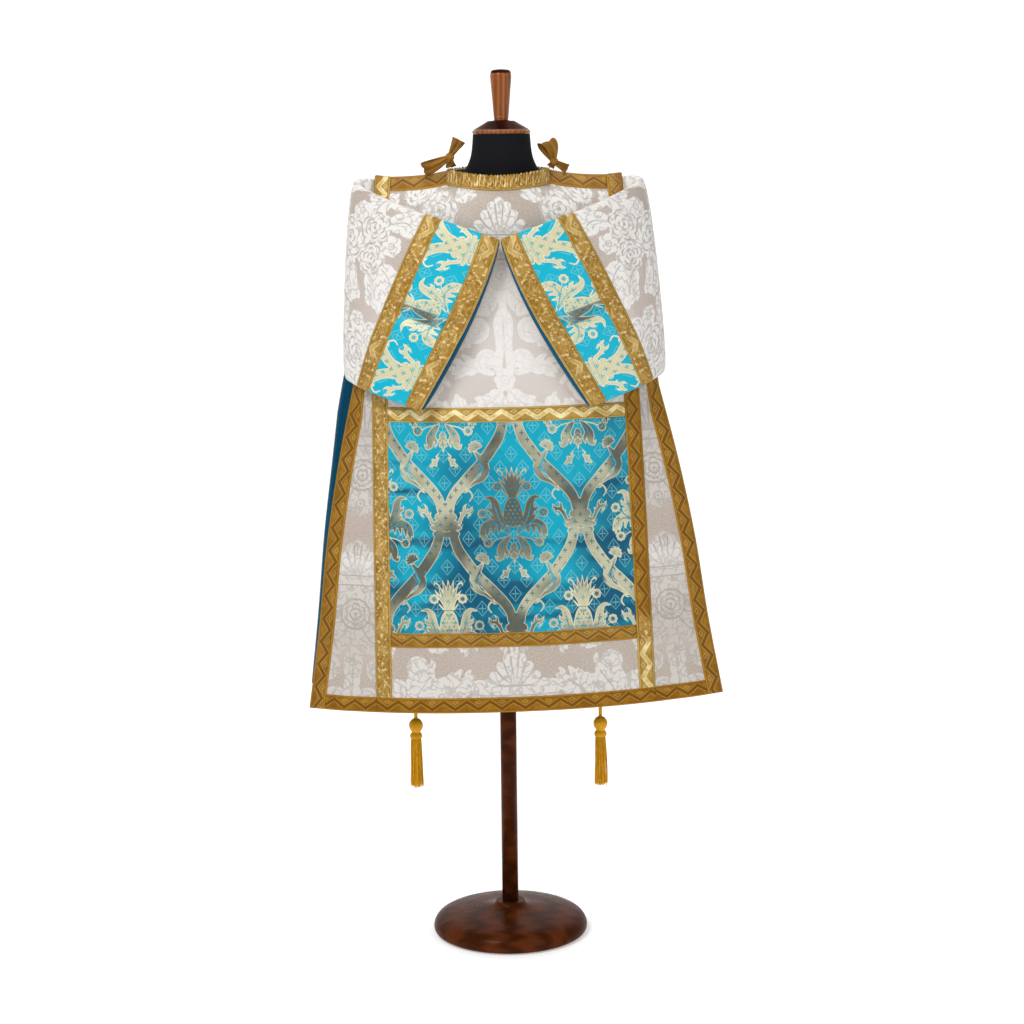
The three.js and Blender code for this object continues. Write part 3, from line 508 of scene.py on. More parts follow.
# Creases left by folding and hanging. Each is a line from (x, z) to (x, z) with its half width
# and its height, below zero for a trough.
CREASES = {
    "front": [
        (-245, 968, -150, 964, 6, -2.4),
        (-60, 990, 10, 984, 6, -1.6),
        (-245, 916, -120, 911, 7, -3.4),
        (-235, 928, -100, 924, 8, 1.8),
        (120, 917, 245, 921, 7, -3.2),
        (110, 930, 235, 934, 8, 1.8),
        (-250, 821, -100, 818, 7, -4.2),
        (-120, 818, 60, 820, 6, -2.0),
        (50, 818, 250, 815, 7, -3.6),
        (-245, 835, 240, 832, 8, 1.8),
        (140, 782, 250, 776, 9, -3.0),
        (-250, 752, -130, 748, 7, 2.4),
        (-250, 735, -60, 730, 9, -3.8),
        (-80, 728, 90, 724, 9, -3.0),
        (70, 734, 250, 727, 9, -3.8),
        (-245, 703, -150, 707, 8, 2.0),
        (-245, 690, -100, 687, 8, -3.4),
        (80, 696, 245, 700, 9, 2.0),
        (120, 682, 245, 678, 8, -2.6),
        (-330, 757, -262, 752, 7, -3.0),
        (-345, 742, -268, 744, 8, 1.8),
        (262, 748, 345, 757, 8, -2.6),
        (-318, 900, -262, 905, 8, -1.8),
        (262, 928, 318, 922, 9, -2.0),
        (-350, 640, -270, 648, 12, -1.6),
        (-210, 1045, -150, 560, 34, 2.2),
        (-75, 1040, -95, 520, 42, -2.4),
        (60, 1040, 85, 520, 40, 2.6),
        (180, 1040, 205, 540, 36, -2.2),
        (-300, 1000, -330, 520, 24, -2.6),
        (300, 1000, 340, 520, 26, 2.4),
        (-330, 560, -318, 497, 22, 3.0),
        (270, 590, 290, 497, 24, -3.0),
        (-140, 1290, -40, 1110, 22, -3.0),
        (120, 1320, 30, 1120, 26, 2.6),
        (-90, 1430, -170, 1330, 20, -3.4),
        (95, 1440, 180, 1330, 22, -3.0),
        (-20, 1460, -60, 1380, 24, 1.8),
    ],
    "back": [
        (-240, 955, 235, 960, 8, -2.4),
        (-240, 752, 240, 748, 8, -2.6),
        (-180, 1380, -120, 560, 40, 2.6),
        (-40, 1400, -70, 520, 44, -2.6),
        (90, 1390, 110, 520, 42, 2.4),
        (210, 1200, 230, 540, 34, -2.2),
        (-320, 1000, -345, 500, 24, -2.6),
        (320, 1000, 350, 500, 26, 2.8),
    ],
}


def relief(creases, x, z):
    """Height of the creases at points of a panel. Each fades at its ends and varies along itself."""
    height = np.zeros(np.broadcast(x, z).shape)
    for x0, z0, x1, z1, wide, high in creases:
        along = np.array([x1 - x0, z1 - z0], float)
        length = np.hypot(*along)
        t = ((x - x0) * along[0] + (z - z0) * along[1]) / length**2
        off = ((x - x0) * along[1] - (z - z0) * along[0]) / length
        wander = wide * 0.45 * np.sin(5.3 * t + x0) + wide * 0.2 * np.sin(13.7 * t + z0)
        fade = np.clip(1.25 - np.abs(2 * np.clip(t, -0.3, 1.3) - 1), 0, 0.45) / 0.45
        uneven = 0.75 + 0.25 * np.sin(9.1 * t + high)
        height += high * uneven * fade**2 * np.exp(-(((off - wander) / wide) ** 2))
    return height


def askew(points):
    """Moves points of the symmetrical garment to the way it hangs."""
    x, z = points[..., 0], points[..., 2]
    down = np.clip((NECK_HEIGHT - z) / (NECK_HEIGHT - HEM_HEIGHT), 0, 1)
    moved = points.copy()
    moved[..., 0] = x + OFF_AT_SHOULDERS + (OFF_AT_HEM - OFF_AT_SHOULDERS) * down
    moved[..., 2] = z + HEM_RISE * x * down
    return moved


def hang(name, x, z, top_x):
    """Points of a panel's outer face, given x, height and where its column meets the top edge."""
    panel, levels = PANELS[name], LEVELS[name]
    off, top_z = top_edge(panel, top_x)
    half, middle, edge = (smooth(levels, k, z) for k in (1, 2, 3))
    hanging = middle + (edge - middle) * np.minimum(1, np.abs(x) / half) ** WRAP
    roll = 1 - (1 - np.clip((top_z - z) / SHOULDER_ROLL, 0, 1)) ** ROLL_SHAPE
    depth = off + (hanging - off) * roll + roll * relief(CREASES[name], x, z)
    shift = panel["shift"] * np.clip((WING_START - z) / SHIFT_DROP, 0, 1)
    return np.stack(np.broadcast_arrays(x + shift, panel["facing"] * depth, z), -1)


def normals_of(points, outward, wrap=False):
    """Unit normals of a grid of points, on the side of outward, given for the grid's middle."""
    across = np.gradient(points, axis=1)
    if wrap:
        across = np.roll(points, -1, 1) - np.roll(points, 1, 1)
    normal = np.cross(np.gradient(points, axis=0), across)
    normal /= np.linalg.norm(normal, axis=-1)[..., None] + 1e-9
    middle = normal[normal.shape[0] // 2, normal.shape[1] // 2]
    return normal * np.sign(middle @ np.asarray(outward, float))


def cloth(name, points, normals, low, high, material, fields=None, wrap=False, back=False):
    """A thin shell on a grid of points, from low to high above them. Without back, only its rim
    goes down to low, because nothing shows there."""
    rows, columns = points.shape[:2]
    outer = points + normals * np.asarray(high)[..., None]
    under = points + normals * np.asarray(low)[..., None]
    ids = np.arange(rows * columns).reshape(rows, columns)
    i, j = np.meshgrid(np.arange(rows - 1), np.arange(columns if wrap else columns - 1), indexing="ij")
    n = (j + 1) % columns
    quads = np.stack([ids[i, j], ids[i + 1, j], ids[i + 1, n], ids[i, n]], -1).reshape(-1, 4)
    flat = outer.reshape(-1, 3)
    a, b, c, _ = flat[quads[len(quads) // 2]]
    inward = np.cross(b - a, c - a) @ normals.reshape(-1, 3)[quads[len(quads) // 2][0]] < 0
    if inward:
        quads = quads[:, ::-1]
    if wrap:
        loops = [np.append(ids[0], ids[0, 0]), np.append(ids[-1], ids[-1, 0])[::-1]]
    else:
        loops = [np.concatenate([ids[0], ids[1:, -1], ids[-1, -2::-1], ids[-2::-1, 0]])]
    kept_ids = ids.ravel() if back else np.unique(np.concatenate(loops))
    place = np.full(rows * columns, -1)
    place[kept_ids] = rows * columns + np.arange(len(kept_ids))
    faces = [quads]
    for loop in loops:
        p, q = loop[:-1], loop[1:]
        rim = np.stack([q, p, place[p], place[q]], -1)
        faces.append(rim if inward else rim[:, ::-1])
    if back:
        faces.append(place[quads][:, ::-1])
    whole = {}
    for key, values in (fields or {}).items():
        values = np.asarray(values, float).reshape(rows * columns, -1)
        values = np.vstack([values, values[kept_ids]])
        whole[key] = values[:, 0] if values.shape[1] == 1 else values
    points = np.vstack([flat, under.reshape(-1, 3)[kept_ids]])
    return mesh_of(name, points, np.vstack(faces), material, whole)


def arc(points, axis):
    """Distance along a grid's columns, or its rows, from its first row or column."""
    step = np.linalg.norm(np.diff(points, axis=axis), axis=-1)
    run = np.cumsum(step, axis=axis)
    return np.concatenate([np.zeros_like(np.take(run, [0], axis)), run], axis=axis)


def centred(points):
    """Distance along each row, from the row's middle."""
    run = arc(points, 1)
    return run - run[:, -1:] / 2


class Loom:
    """One repeat of a woven pattern, drawn as strokes and kept as how far each place lies inside a
    motif. It is mirrored about its middle and about its sides. With a half drop, everything is also
    drawn half a repeat across and up."""

    def __init__(self, width, height, half_drop=False, cell=1.5):
        self.width, self.height, self.half_drop = width, height, half_drop
        self.columns = int(width / 2 / cell) + 2
        self.rows = int(height / cell)
        self.x = np.linspace(0, width / 2, self.columns)
        self.y = np.arange(self.rows) * height / self.rows
        self.layers = {key: np.full((self.rows, self.columns), -12.0) for key in ("motif", "line")}

    def stroke(self, points, radii, layer="motif", cut=False, fine=4):
        """A smooth stroke through points, with a radius at each. Cut takes it out of the layer."""
        line = np.column_stack([np.asarray(points, float).reshape(-1, 2), np.ravel(radii)])
        if len(line) > 2:
            line = through(line, fine * len(line))
            line[:, 2] = np.maximum(line[:, 2], 0.05)
        copies = [line, line * (-1, 1, 1), line * (-1, 1, 1) + (self.width, 0, 0)]
        if self.half_drop:
            swap = (self.width / 2, self.height / 2, 0)
            copies += [line * (-1, 1, 1) + swap, line + swap, line + (-swap[0], swap[1], 0)]
        for copy in copies:
            for turn in (-1, 0, 1):
                self.draw(copy + (0, turn * self.height, 0), layer, cut)

    def draw(self, line, layer, cut):
        """One copy of a stroke, on the part of the layer that it reaches."""
        reach = line[:, 2].max() + 6
        low, high = np.searchsorted(self.y, [line[:, 1].min() - reach, line[:, 1].max() + reach])
        left, right = np.searchsorted(self.x, [line[:, 0].min() - reach, line[:, 0].max() + reach])
        if left >= right or low >= high:
            return
        x, y = self.x[None, left:right], self.y[low:high, None]
        inside = np.full((high - low, right - left), -12.0)
        ends = line if len(line) > 1 else np.vstack([line, line])
        for (x0, y0, r0), (x1, y1, r1) in zip(ends[:-1], ends[1:]):
            dx, dy = x1 - x0, y1 - y0
            t = np.clip(((x - x0) * dx + (y - y0) * dy) / (dx * dx + dy * dy + 1e-9), 0, 1)
            far = np.hypot(x - x0 - t * dx, y - y0 - t * dy)
            inside = np.maximum(inside, r0 + (r1 - r0) * t - far)
        view = self.layers[layer][low:high, left:right]
        view[:] = np.minimum(view, -inside) if cut else np.maximum(view, inside)

    def leaf(self, spine, width, lobes=4):
        """A toothed leaf along a spine: lobes on both sides, parted by thin gaps, and a vein."""
        vein, gap = 1.1, 0.9
        spine = through(spine, 24)
        ahead = np.gradient(spine, axis=0)
        ahead /= np.linalg.norm(ahead, axis=1)[:, None] + 1e-9
        side = np.stack([-ahead[:, 1], ahead[:, 0]], -1)
        share = np.linspace(0, 1, 24)
        girth = width / 2 * np.sin(math.pi * np.clip(share * 0.86 + 0.14, 0, 1)) ** 0.75
        self.stroke(spine[::3], np.maximum(0.45 * girth[::3], 0.8))
        for k in range(lobes):
            at = int(2 + 19 * (k + 0.4) / lobes)
            out = girth[at] * 1.08
            for hand in (1, -1):
                root, way = spine[at], side[at] * hand
                tip = root + way * out + ahead[at] * out * 0.95
                bend = root + way * out * 0.72 + ahead[at] * out * 0.28
                self.stroke([root, bend, tip], [0.34 * out, 0.33 * out, 0.12 * out])
                if k:
                    rib = root + way * out * 0.25 + ahead[at] * out * 0.05
                    far = root + way * out * 0.85 + ahead[at] * out * 0.5
                    self.stroke([rib, far], [0.3 * gap, gap], "line")
        middle = spine[1:-3:4]
        self.stroke(middle, np.full(len(middle), vein), "line")

    def scroll(self, x, y, radius, start, turns, width):
        """A spiral that winds in from its radius to a disc, with a rib along it."""
        angle = start + np.sign(turns) * np.linspace(0, abs(turns) * 2 * math.pi, 11)
        shrink = radius * np.linspace(1, 0.2, 11)
        points = np.stack([x + shrink * np.cos(angle), y + shrink * np.sin(angle)], -1)
        self.stroke(points, width * np.linspace(0.3, 0.46, 11), fine=2)
        self.stroke([points[-1]], [width * 0.7])
        self.stroke(points[1:9] * 0.96 + np.array([x, y]) * 0.04, np.full(8, 0.9), "line", fine=2)

    def floret(self, x, y, radius, petals=8):
        """A small daisy with an open eye. A large one has a ring of 2 mm for its eye."""
        eye = 0.42 * radius
        for k in range(petals):
            a = 2 * math.pi * k / petals
            self.stroke([(x + 0.7 * radius * math.cos(a), y + 0.7 * radius * math.sin(a))], [0.3 * radius])
        self.stroke([(x, y)], [0.66 * radius])
        self.stroke([(x, y)], [eye], "line")
        if eye > 5:
            self.stroke([(x, y)], [eye - 2], "line", cut=True)
            self.stroke([(x, y)], [0.1 * radius], "line")

    def rose(self, x, y, radius, petals=6, turn=0.0):
        """A full rose. Each petal is a disc with its rim drawn, from the outer round to the inner."""
        for k, (share, size) in enumerate(((0.66, 0.38), (0.42, 0.3), (0.19, 0.2))):
            for m in range(petals - k):
                a = turn + 2 * math.pi * (m + 0.45 * k) / (petals - k)
                cx, cy = x + share * radius * math.cos(a), y + share * radius * math.sin(a)
                self.stroke([(cx, cy)], [size * radius])
                self.stroke([(cx, cy)], [size * radius * 0.94], "line", cut=True)
                rim, out = a + np.linspace(-1.5, 1.3, 6), size * radius * 0.9
                edge = [(cx + out * math.cos(r), cy + out * math.sin(r)) for r in rim]
                self.stroke(edge, [0.1, 1.0, 1.4, 1.5, 1.0, 0.1], "line", fine=2)
        self.stroke([(x, y)], [0.1 * radius], "line")

    def at(self, layer, u, v):
        """The layer's value at places on the cloth."""
        half = self.width / 2
        x = (half - np.abs((u % self.width) - half)) / half * (self.columns - 1)
        y = (v % self.height) / self.height * self.rows
        i, j = np.floor(y).astype(int), np.clip(np.floor(x).astype(int), 0, self.columns - 2)
        fy, fx = y - i, x - j
        field, i = self.layers[layer], i % self.rows
        k = (i + 1) % self.rows
        low = field[i, j] * (1 - fx) + field[i, j + 1] * fx
        high = field[k, j] * (1 - fx) + field[k, j + 1] * fx
        return low * (1 - fy) + high * fy


def damask_loom():
    """Rose bouquets beside a candelabrum of shells, scrolls and long leaves. x = 0 is its axis,
    and y = 0 is the shell below the neck."""
    loom = Loom(500, 1100, cell=1.5)
    for foot, last in ((0, False), (-420, False), (-839, True)):
        # A shell on scrolled steps, and a rose in an urn of petals under it.
        for x, y in ((0, 66), (14, 57), (27, 42), (40, 24)):
            loom.stroke([(0.2 * x, foot + 2), (0.65 * x, foot + 0.6 * y), (x, foot + y)], [6, 9.5, 7.5])
        for x, y in ((7.5, 60), (21, 48), (33, 31)):
            spine = [(0.25 * x, foot + 8), (0.7 * x, foot + 0.62 * y), (x, foot + y)]
            loom.stroke(spine, [0.6, 1.3, 1.6], "line")
        loom.stroke([(0, foot - 4), (34, foot - 3), (54, foot + 10)], [10, 10, 7])
        loom.stroke([(0, foot + 4), (30, foot + 5), (46, foot + 13)], [1.1, 1.2, 0.8], "line")
        loom.scroll(66, foot + 2, 18, -2.4, 1.0, 13)
        loom.stroke([(0, foot - 22), (40, foot - 24), (72, foot - 20), (92, foot - 32)], [11, 10, 9, 3])
        loom.stroke([(0, foot - 13), (36, foot - 14), (70, foot - 12)], [1.1, 1.2, 0.8], "line")
        for x, y in ((10, -46), (28, -42), (46, -54)):
            loom.stroke([(0, foot - 40), (x, foot + y)], [10, 11])
        loom.rose(0, foot - 68, 29, 7)
        loom.leaf([(18, foot - 80), (46, foot - 88), (68, foot - 74), (92, foot - 84)], 36, lobes=5)
        loom.leaf([(12, foot - 92), (32, foot - 118), (60, foot - 128)], 32)
        if last:
            continue
        loom.stroke([(0, foot - 98), (0, foot - 130)], [11, 6])
        loom.scroll(50, foot - 166, 34, 2.2, -1.25, 20)
        loom.scroll(30, foot - 226, 24, -1.8, 1.1, 16)
        loom.stroke([(0, foot - 130), (10, foot - 156), (8, foot - 200), (12, foot - 240)], [6, 8, 7, 8])
        loom.stroke([(0, foot - 140), (0, foot - 236)], [0.8, 1.4], "line")
        loom.leaf([(66, foot - 198), (92, foot - 182), (108, foot - 148)], 34, lobes=5)
        loom.leaf([(46, foot - 244), (76, foot - 236), (102, foot - 252)], 32)
        loom.floret(0, foot - 262, 20, 8)
        loom.leaf([(6, foot - 280), (30, foot - 306), (62, foot - 306)], 32, lobes=5)
        loom.leaf([(4, foot - 296), (8, foot - 326), (28, foot - 348)], 26)
        # A bouquet on each side: three roses, with daisies and leaves round them.
        loom.rose(114, foot + 50, 37, 7, 0.2)
        loom.rose(165, foot + 86, 30, 6, 0.8)
        loom.rose(178, foot + 30, 28, 6, 0.1)
        loom.floret(120, foot + 106, 16, 6)
        loom.floret(214, foot + 66, 16, 6)
        loom.leaf([(108, foot + 14), (98, foot - 8), (74, foot - 18)], 34, lobes=5)
        loom.leaf([(134, foot + 10), (128, foot - 22), (142, foot - 52)], 36, lobes=5)
        loom.leaf([(178, foot + 4), (196, foot - 22), (190, foot - 52)], 36, lobes=5)
        loom.leaf([(206, foot + 22), (228, foot + 6), (240, foot - 24)], 32)
        loom.leaf([(190, foot + 102), (216, foot + 116), (244, foot + 104)], 32)
        loom.leaf([(150, foot + 112), (146, foot + 138), (122, foot + 156)], 32)
        loom.leaf([(82, foot + 70), (62, foot + 84), (52, foot + 112)], 32)
        # A smaller one lower down, on a stem that ends in scrolls.
        loom.rose(150, foot - 142, 35, 7, 0.5)
        loom.rose(200, foot - 108, 28, 6, 0.2)
        loom.rose(208, foot - 164, 26, 6, 1.0)
        loom.floret(152, foot - 90, 16, 6)
        loom.leaf([(122, foot - 118), (104, foot - 94), (112, foot - 62)], 32)
        loom.leaf([(142, foot - 180), (124, foot - 202), (128, foot - 234)], 34, lobes=5)
        loom.leaf([(188, foot - 194), (198, foot - 222), (180, foot - 248)], 34, lobes=5)
        loom.leaf([(224, foot - 124), (244, foot - 98), (240, foot - 70)], 30)
        loom.leaf([(230, foot - 186), (246, foot - 206), (246, foot - 234)], 28)
        loom.scroll(208, foot - 284, 33, 0.6, 1.2, 19)
        loom.scroll(142, foot - 286, 24, 2.6, -1.1, 15)
        stem = [(106, foot - 270), (128, foot - 252), (162, foot - 258), (236, foot - 276)]
        loom.stroke(stem, [4, 7, 7, 5])
        loom.leaf([(174, foot - 316), (150, foot - 330), (120, foot - 326)], 32, lobes=5)
        loom.leaf([(226, foot - 318), (244, foot - 340), (248, foot - 366)], 30)
        loom.leaf([(92, foot - 290), (84, foot - 330), (104, foot - 352)], 30)
    # Acanthus scrolls beside the last shell.
    loom.leaf([(196, -896), (186, -850), (160, -812), (176, -786)], 52, lobes=6)
    loom.leaf([(176, -862), (140, -858), (108, -832), (70, -812)], 44, lobes=6)
    loom.leaf([(184, -884), (150, -890), (124, -880), (104, -894)], 34, lobes=5)
    loom.scroll(186, -800, 20, 2.4, -1.0, 15)
    loom.scroll(228, -850, 26, 1.2, 1.1, 17)
    loom.leaf([(206, -884), (232, -900), (248, -890)], 34)
    loom.rose(120, -930, 30, 7)
    loom.leaf([(150, -940), (184, -944), (214, -930)], 34, lobes=5)
    loom.leaf([(90, -940), (60, -950), (40, -930)], 32)
    loom.floret(0, -960, 22, 8)
    return loom


def weave_group():
    """Crossed threads, uneven in height and tone. Used by every woven cloth."""
    group = bpy.data.node_groups.new("weave", "ShaderNodeTree")
    group.interface.new_socket("Place", in_out="INPUT", socket_type="NodeSocketVector")
    for socket, way in (("Threads", "INPUT"), ("Slope", "INPUT"), ("Height", "OUTPUT"), ("Tone", "OUTPUT")):
        group.interface.new_socket(socket, in_out=way, socket_type="NodeSocketFloat")
    given = group.nodes.new("NodeGroupInput").outputs
    split = wire(group, "ShaderNodeSeparateXYZ", {0: given["Place"]}).outputs
    warp = maths(group, "MULTIPLY", split[0], given["Threads"])
    weft = maths(group, "MULTIPLY", split[1], given["Threads"])
    slanted = maths(group, "MULTIPLY_ADD", weft, given["Slope"], warp)
    over = maths(group, "SINE", maths(group, "MULTIPLY", slanted, 2 * math.pi))
    under = maths(group, "SINE", maths(group, "MULTIPLY", weft, 2 * math.pi))
    cross = maths(group, "MULTIPLY", over, under)
    slub = noise(group, given["Place"], 300.0, 4.0, 0.7)
    height = maths(group, "MULTIPLY_ADD", cross, 0.35, slub)
    made = group.nodes.new("NodeGroupOutput")
    group.links.new(height, made.inputs["Height"])
    group.links.new(slub, made.inputs["Tone"])
    return group


WEAVE = weave_group()


def apart(tree, a, b):
    """How far apart two values are."""
    return maths(tree, "ABSOLUTE", maths(tree, "SUBTRACT", a, b))


def times(tree, a, b):
    return maths(tree, "MULTIPLY", a, b)


def kept(tree, name):
    """A value or a vector that a mesh keeps at its points."""
    return wire(tree, "ShaderNodeAttribute", attribute_name=name)


def stored(tree, name):
    """A value kept at the cloth's points."""
    return kept(tree, name).outputs["Fac"]


def cloth_place(tree):
    """The cloth's own flat place, in metres."""
    return kept(tree, "flat").outputs["Vector"]


def woven(tree, place, threads, slope):
    """The weave's height and tone, for threads a metre and the slope of its twill."""
    node = wire(tree, "ShaderNodeGroup", node_tree=WEAVE)
    tree.links.new(place, node.inputs["Place"])
    node.inputs["Threads"].default_value = threads
    node.inputs["Slope"].default_value = slope
    return node.outputs["Height"], node.outputs["Tone"]


SATIN_IN_SHADE = (0.40, 0.33, 0.28, 1), (0.51, 0.435, 0.375, 1)
SATIN_LIT = (0.58, 0.53, 0.49, 1), (0.65, 0.60, 0.56, 1)
WEFT, WEFT_DIM = ((0.68, 0.645, 0.61, 1), (0.84, 0.815, 0.79, 1)), (0.50, 0.455, 0.41, 1)
WARP = (0.30, 0.27, 0.24, 1)
DARK_BLUE = (0.002, 0.065, 0.135, 1), (0.005, 0.125, 0.225, 1)


def damask_material():
    """Satin ground that shines, with the motifs in a matt weft a little proud of it."""
    material, tree, bsdf = new_material("damask")
    place, glare = cloth_place(tree), stored(tree, "glare")
    height, tone = woven(tree, place, 900.0, 0.25)
    motif = between(tree, stored(tree, "motif"), -1.5, 0.0)
    line = between(tree, stored(tree, "line"), -0.9, 0.5)
    shade = blend_colours(tree, between(tree, tone, 0.35, 0.65), *SATIN_IN_SHADE)
    ground = blend_colours(tree, glare, shade, blend_colours(tree, tone, *SATIN_LIT))
    raised = blend_colours(tree, stored(tree, "dim"), blend_colours(tree, tone, *WEFT), WEFT_DIM)
    # Fine lines of the darker warp are drawn all over the motifs, besides the main veins.
    drawn = apart(tree, noise(tree, place, 55.0, 1.5), 0.5)
    drawn = times(tree, between(tree, drawn, 0.05, 0.014), 0.65)
    line = maths(tree, "MAXIMUM", line, drawn)
    vein = times(tree, line, between(tree, glare, 0.3, 0.9, 0.72, 0.2))
    raised = blend_colours(tree, vein, raised, WARP)
    colour = blend_colours(tree, motif, ground, raised)
    stand = maths(tree, "SUBTRACT", times(tree, motif, 1.4), times(tree, line, 0.9))
    bump = maths(tree, "MULTIPLY_ADD", height, 0.32, stand)
    rough = between(tree, motif, 0.0, 1.0, 0.36, 0.62)
    surface(tree, bsdf, colour, rough, bump, 0.0003, Specular_IOR_Level=0.3)
    return material


def lining_material():
    """Plain twill."""
    material, tree, bsdf = new_material("blue_lining")
    height, tone = woven(tree, cloth_place(tree), 1200.0, 0.5)
    colour = blend_colours(tree, tone, *DARK_BLUE)
    surface(tree, bsdf, colour, 0.5, height, 0.0001, Specular_IOR_Level=0.2)
    return material


DAMASK_LOOM = damask_loom()
DAMASK = damask_material()
BLUE = lining_material()
# Heights at which the pattern's shell stands, on the centre panels and on the wedges.
SHELL_HEIGHT, WEDGE_SHELL_HEIGHT = 1381.0, 747.0
# Behind the turquoise square, the damask's face lies a little lower.
SQUARE_MIDDLE, HIDDEN_HALF, HIDDEN_DROP = 843.0, 192.0, 1.0


def flat_place(u, v):
    """The flat cloth's own place at a grid's points, from millimetres."""
    u, v = np.broadcast_arrays(u, v)
    return np.stack([u, v, np.zeros(u.shape)], -1) / 1000


def damask_fields(u, v, glare, dim=0.0):
    """What the damask keeps at its points: its own flat place, the pattern, how lit the satin is, and
    how far the motifs turn from the light."""
    flat = flat_place(u, v)
    motif, line = DAMASK_LOOM.at("motif", u, v), DAMASK_LOOM.at("line", u, v)
    lit = {"glare": np.clip(glare, 0, 1), "dim": np.clip(dim + 0 * glare, 0, 1)}
    return {"flat": flat, "motif": motif, "line": line, **lit}


def centre_grid(name, rows, columns, inner=True, top=None, foot=HEM_HEIGHT):
    """x, z and top x of a grid on the centre panel, from its top edge, or a height, to foot. rows is
    a count, or shares of the way down. inner stops it at the upright braids' inner edges."""
    share = np.linspace(-1, 1, columns)[None, :]
    drop = (np.linspace(0, 1, rows) if isinstance(rows, int) else rows)[:, None]
    beyond = -BRAID / 2 if inner else BRAID / 2
    top_x = share * (braid_line(SHOULDER_HEIGHT) + beyond)
    start = top_edge(PANELS[name], top_x)[1] if top is None else np.full_like(top_x, top)
    z = start + (foot - start) * drop
    if top is None:
        level = SHOULDER_HEIGHT + (foot - SHOULDER_HEIGHT) * drop
        settle = np.clip(drop * 6, 0, 1)
        z = z + (level - z) * settle
    x = share * (braid_line(np.minimum(z, SHOULDER_HEIGHT)) + beyond)
    return x, z, np.broadcast_to(top_x, z.shape)


def wing_grid(name, sign, rows, columns, from_share=0, to_share=2, top=WING_START, foot=HEM_HEIGHT):
    """The same on a wedge. Share 0 is the upright braid, 1 the edge braid and 2 the wedge's edge."""
    z = np.linspace(top, foot, rows)[:, None]
    inner = braid_line(z) + BRAID / 2
    outer = smooth(LEVELS[name], 1, z)
    braid = np.maximum(outer - BRAID, inner + (outer - inner) * 0.4)
    share = np.linspace(from_share, to_share, columns)[None, :]
    x = np.where(share <= 1, inner + (braid - inner) * share, braid + (outer - braid) * (share - 1))
    return sign * x, np.broadcast_to(z, x.shape), np.full(x.shape, sign * SHOULDER_HALF)


def panel_points(name, x, z, top_x, seamed=False):
    """Points and normals on a panel as it hangs. A seamed top row faces straight up."""
    points = hang(name, x, z, top_x)
    normals = normals_of(points, (0, PANELS[name]["facing"], 0))
    if seamed:
        level = normals[0] * (1, 0, 1)
        level /= np.linalg.norm(level, axis=-1)[:, None] ** 2
        on_line = (np.abs(top_x[0]) >= NECK_HALF)[:, None]
        normals[0] = np.where(on_line, level, normals[0])
    return askew(points), normals


def add_lining(name, points, normals, flat, node, wrap=False):
    """Blue lining behind a grid of the damask's outer face."""
    low, high = -CLOTH - SEAM - LINING, -CLOTH - SEAM
    piece = cloth(name, points, normals, low, high, BLUE, {"flat": flat}, wrap, back=True)
    return put_in_place(piece, node)


def add_panel(name):
    """The centre panel and its two wedges, each with its lining."""
    # The front is cut finely where it shows, and coarsely behind the square.
    fine = name == "front"
    shown = [np.linspace(0, 0.44, 182), np.linspace(0.448, 0.84, 44), np.linspace(0.85, 1, 64)]
    rows, columns = (np.concatenate(shown), 196) if fine else (210, 96)
    x, z, top_x = centre_grid(name, rows, columns, inner=False)
    points, normals = panel_points(name, x, z, top_x, seamed=True)
    u = centred(points)
    # It is lit across the chest, and its motifs are dimmer below the square.
    glare = 1.05 * np.exp(-(((z - 1200) / 165) ** 4)) + 0.1 * np.sin(x / 37 + z / 61)
    dim = 0.4 * np.clip((660 - z) / 40, 0, 1)
    fields = damask_fields(u, z - SHELL_HEIGHT, glare, dim)
    under_square = (np.abs(z - SQUARE_MIDDLE) < HIDDEN_HALF) & (np.abs(x) < braid_line(z) - BRAID)
    face = np.where(under_square, -HIDDEN_DROP, 0.0)
    panel = cloth(f"tunicle_{name}", points, normals, -CLOTH, face, DAMASK, fields)
    put_in_place(panel, name)
    x, z, top_x = centre_grid(name, 90, 56, inner=False)
    points, normals = panel_points(name, x, z, top_x, seamed=True)
    lining = add_lining(f"tunicle_{name}_lining", points, normals, flat_place(x, z), f"{name}_lining")
    for side, sign in SIDES.items():
        x, z, top_x = wing_grid(name, sign, 310 if fine else 150, 54 if fine else 30)
        points, normals = panel_points(name, x, z, top_x)
        u = np.abs(x) - (braid_line(z) + smooth(LEVELS[name], 1, z) - BRAID / 2) / 2
        # The wedges are painted dim and mostly in shade, with a band of painted light across them near 775
        # mm.
        glare = 0.12 + 0.12 * np.sin(z / 23) + 0.4 * np.exp(-(((z - 775) / 22) ** 2))
        dim = 0.8 - 0.5 * np.exp(-(((z - 780) / 26) ** 2)) + 0.12 * np.sin(z / 31)
        fields = damask_fields(u, z - WEDGE_SHELL_HEIGHT, glare, dim)
        wing = cloth(f"tunicle_{name}_wedge_{side}", points, normals, -CLOTH, 0.0, DAMASK, fields)
        put_in_place(wing, f"{name}_wing_{side}")
        x, z, top_x = wing_grid(name, sign, 80, 12)
        points, normals = panel_points(name, x, z, top_x)
        label, node = f"tunicle_{name}_wedge_lining_{side}", f"{name}_wing_lining_{side}"
        behind = add_lining(label, points, normals, flat_place(x, z), node)
    return panel, lining


# The front and the back, each with its lining, and all that is sewn on each.
panels = {name: add_panel(name) for name in PANELS}
trims = {name: [] for name in PANELS}

# ---------------------------------------------------------------- Turquoise squares
# Turquoise lampas sewn flat between the upright braids. Its gold wefts draw an ogee lattice of wide
# bands tied by crown-like clasps, with a dressed pineapple in each mesh, on a diaper of lozenges.
REPEAT_WIDE, REPEAT_HIGH = 253, 418


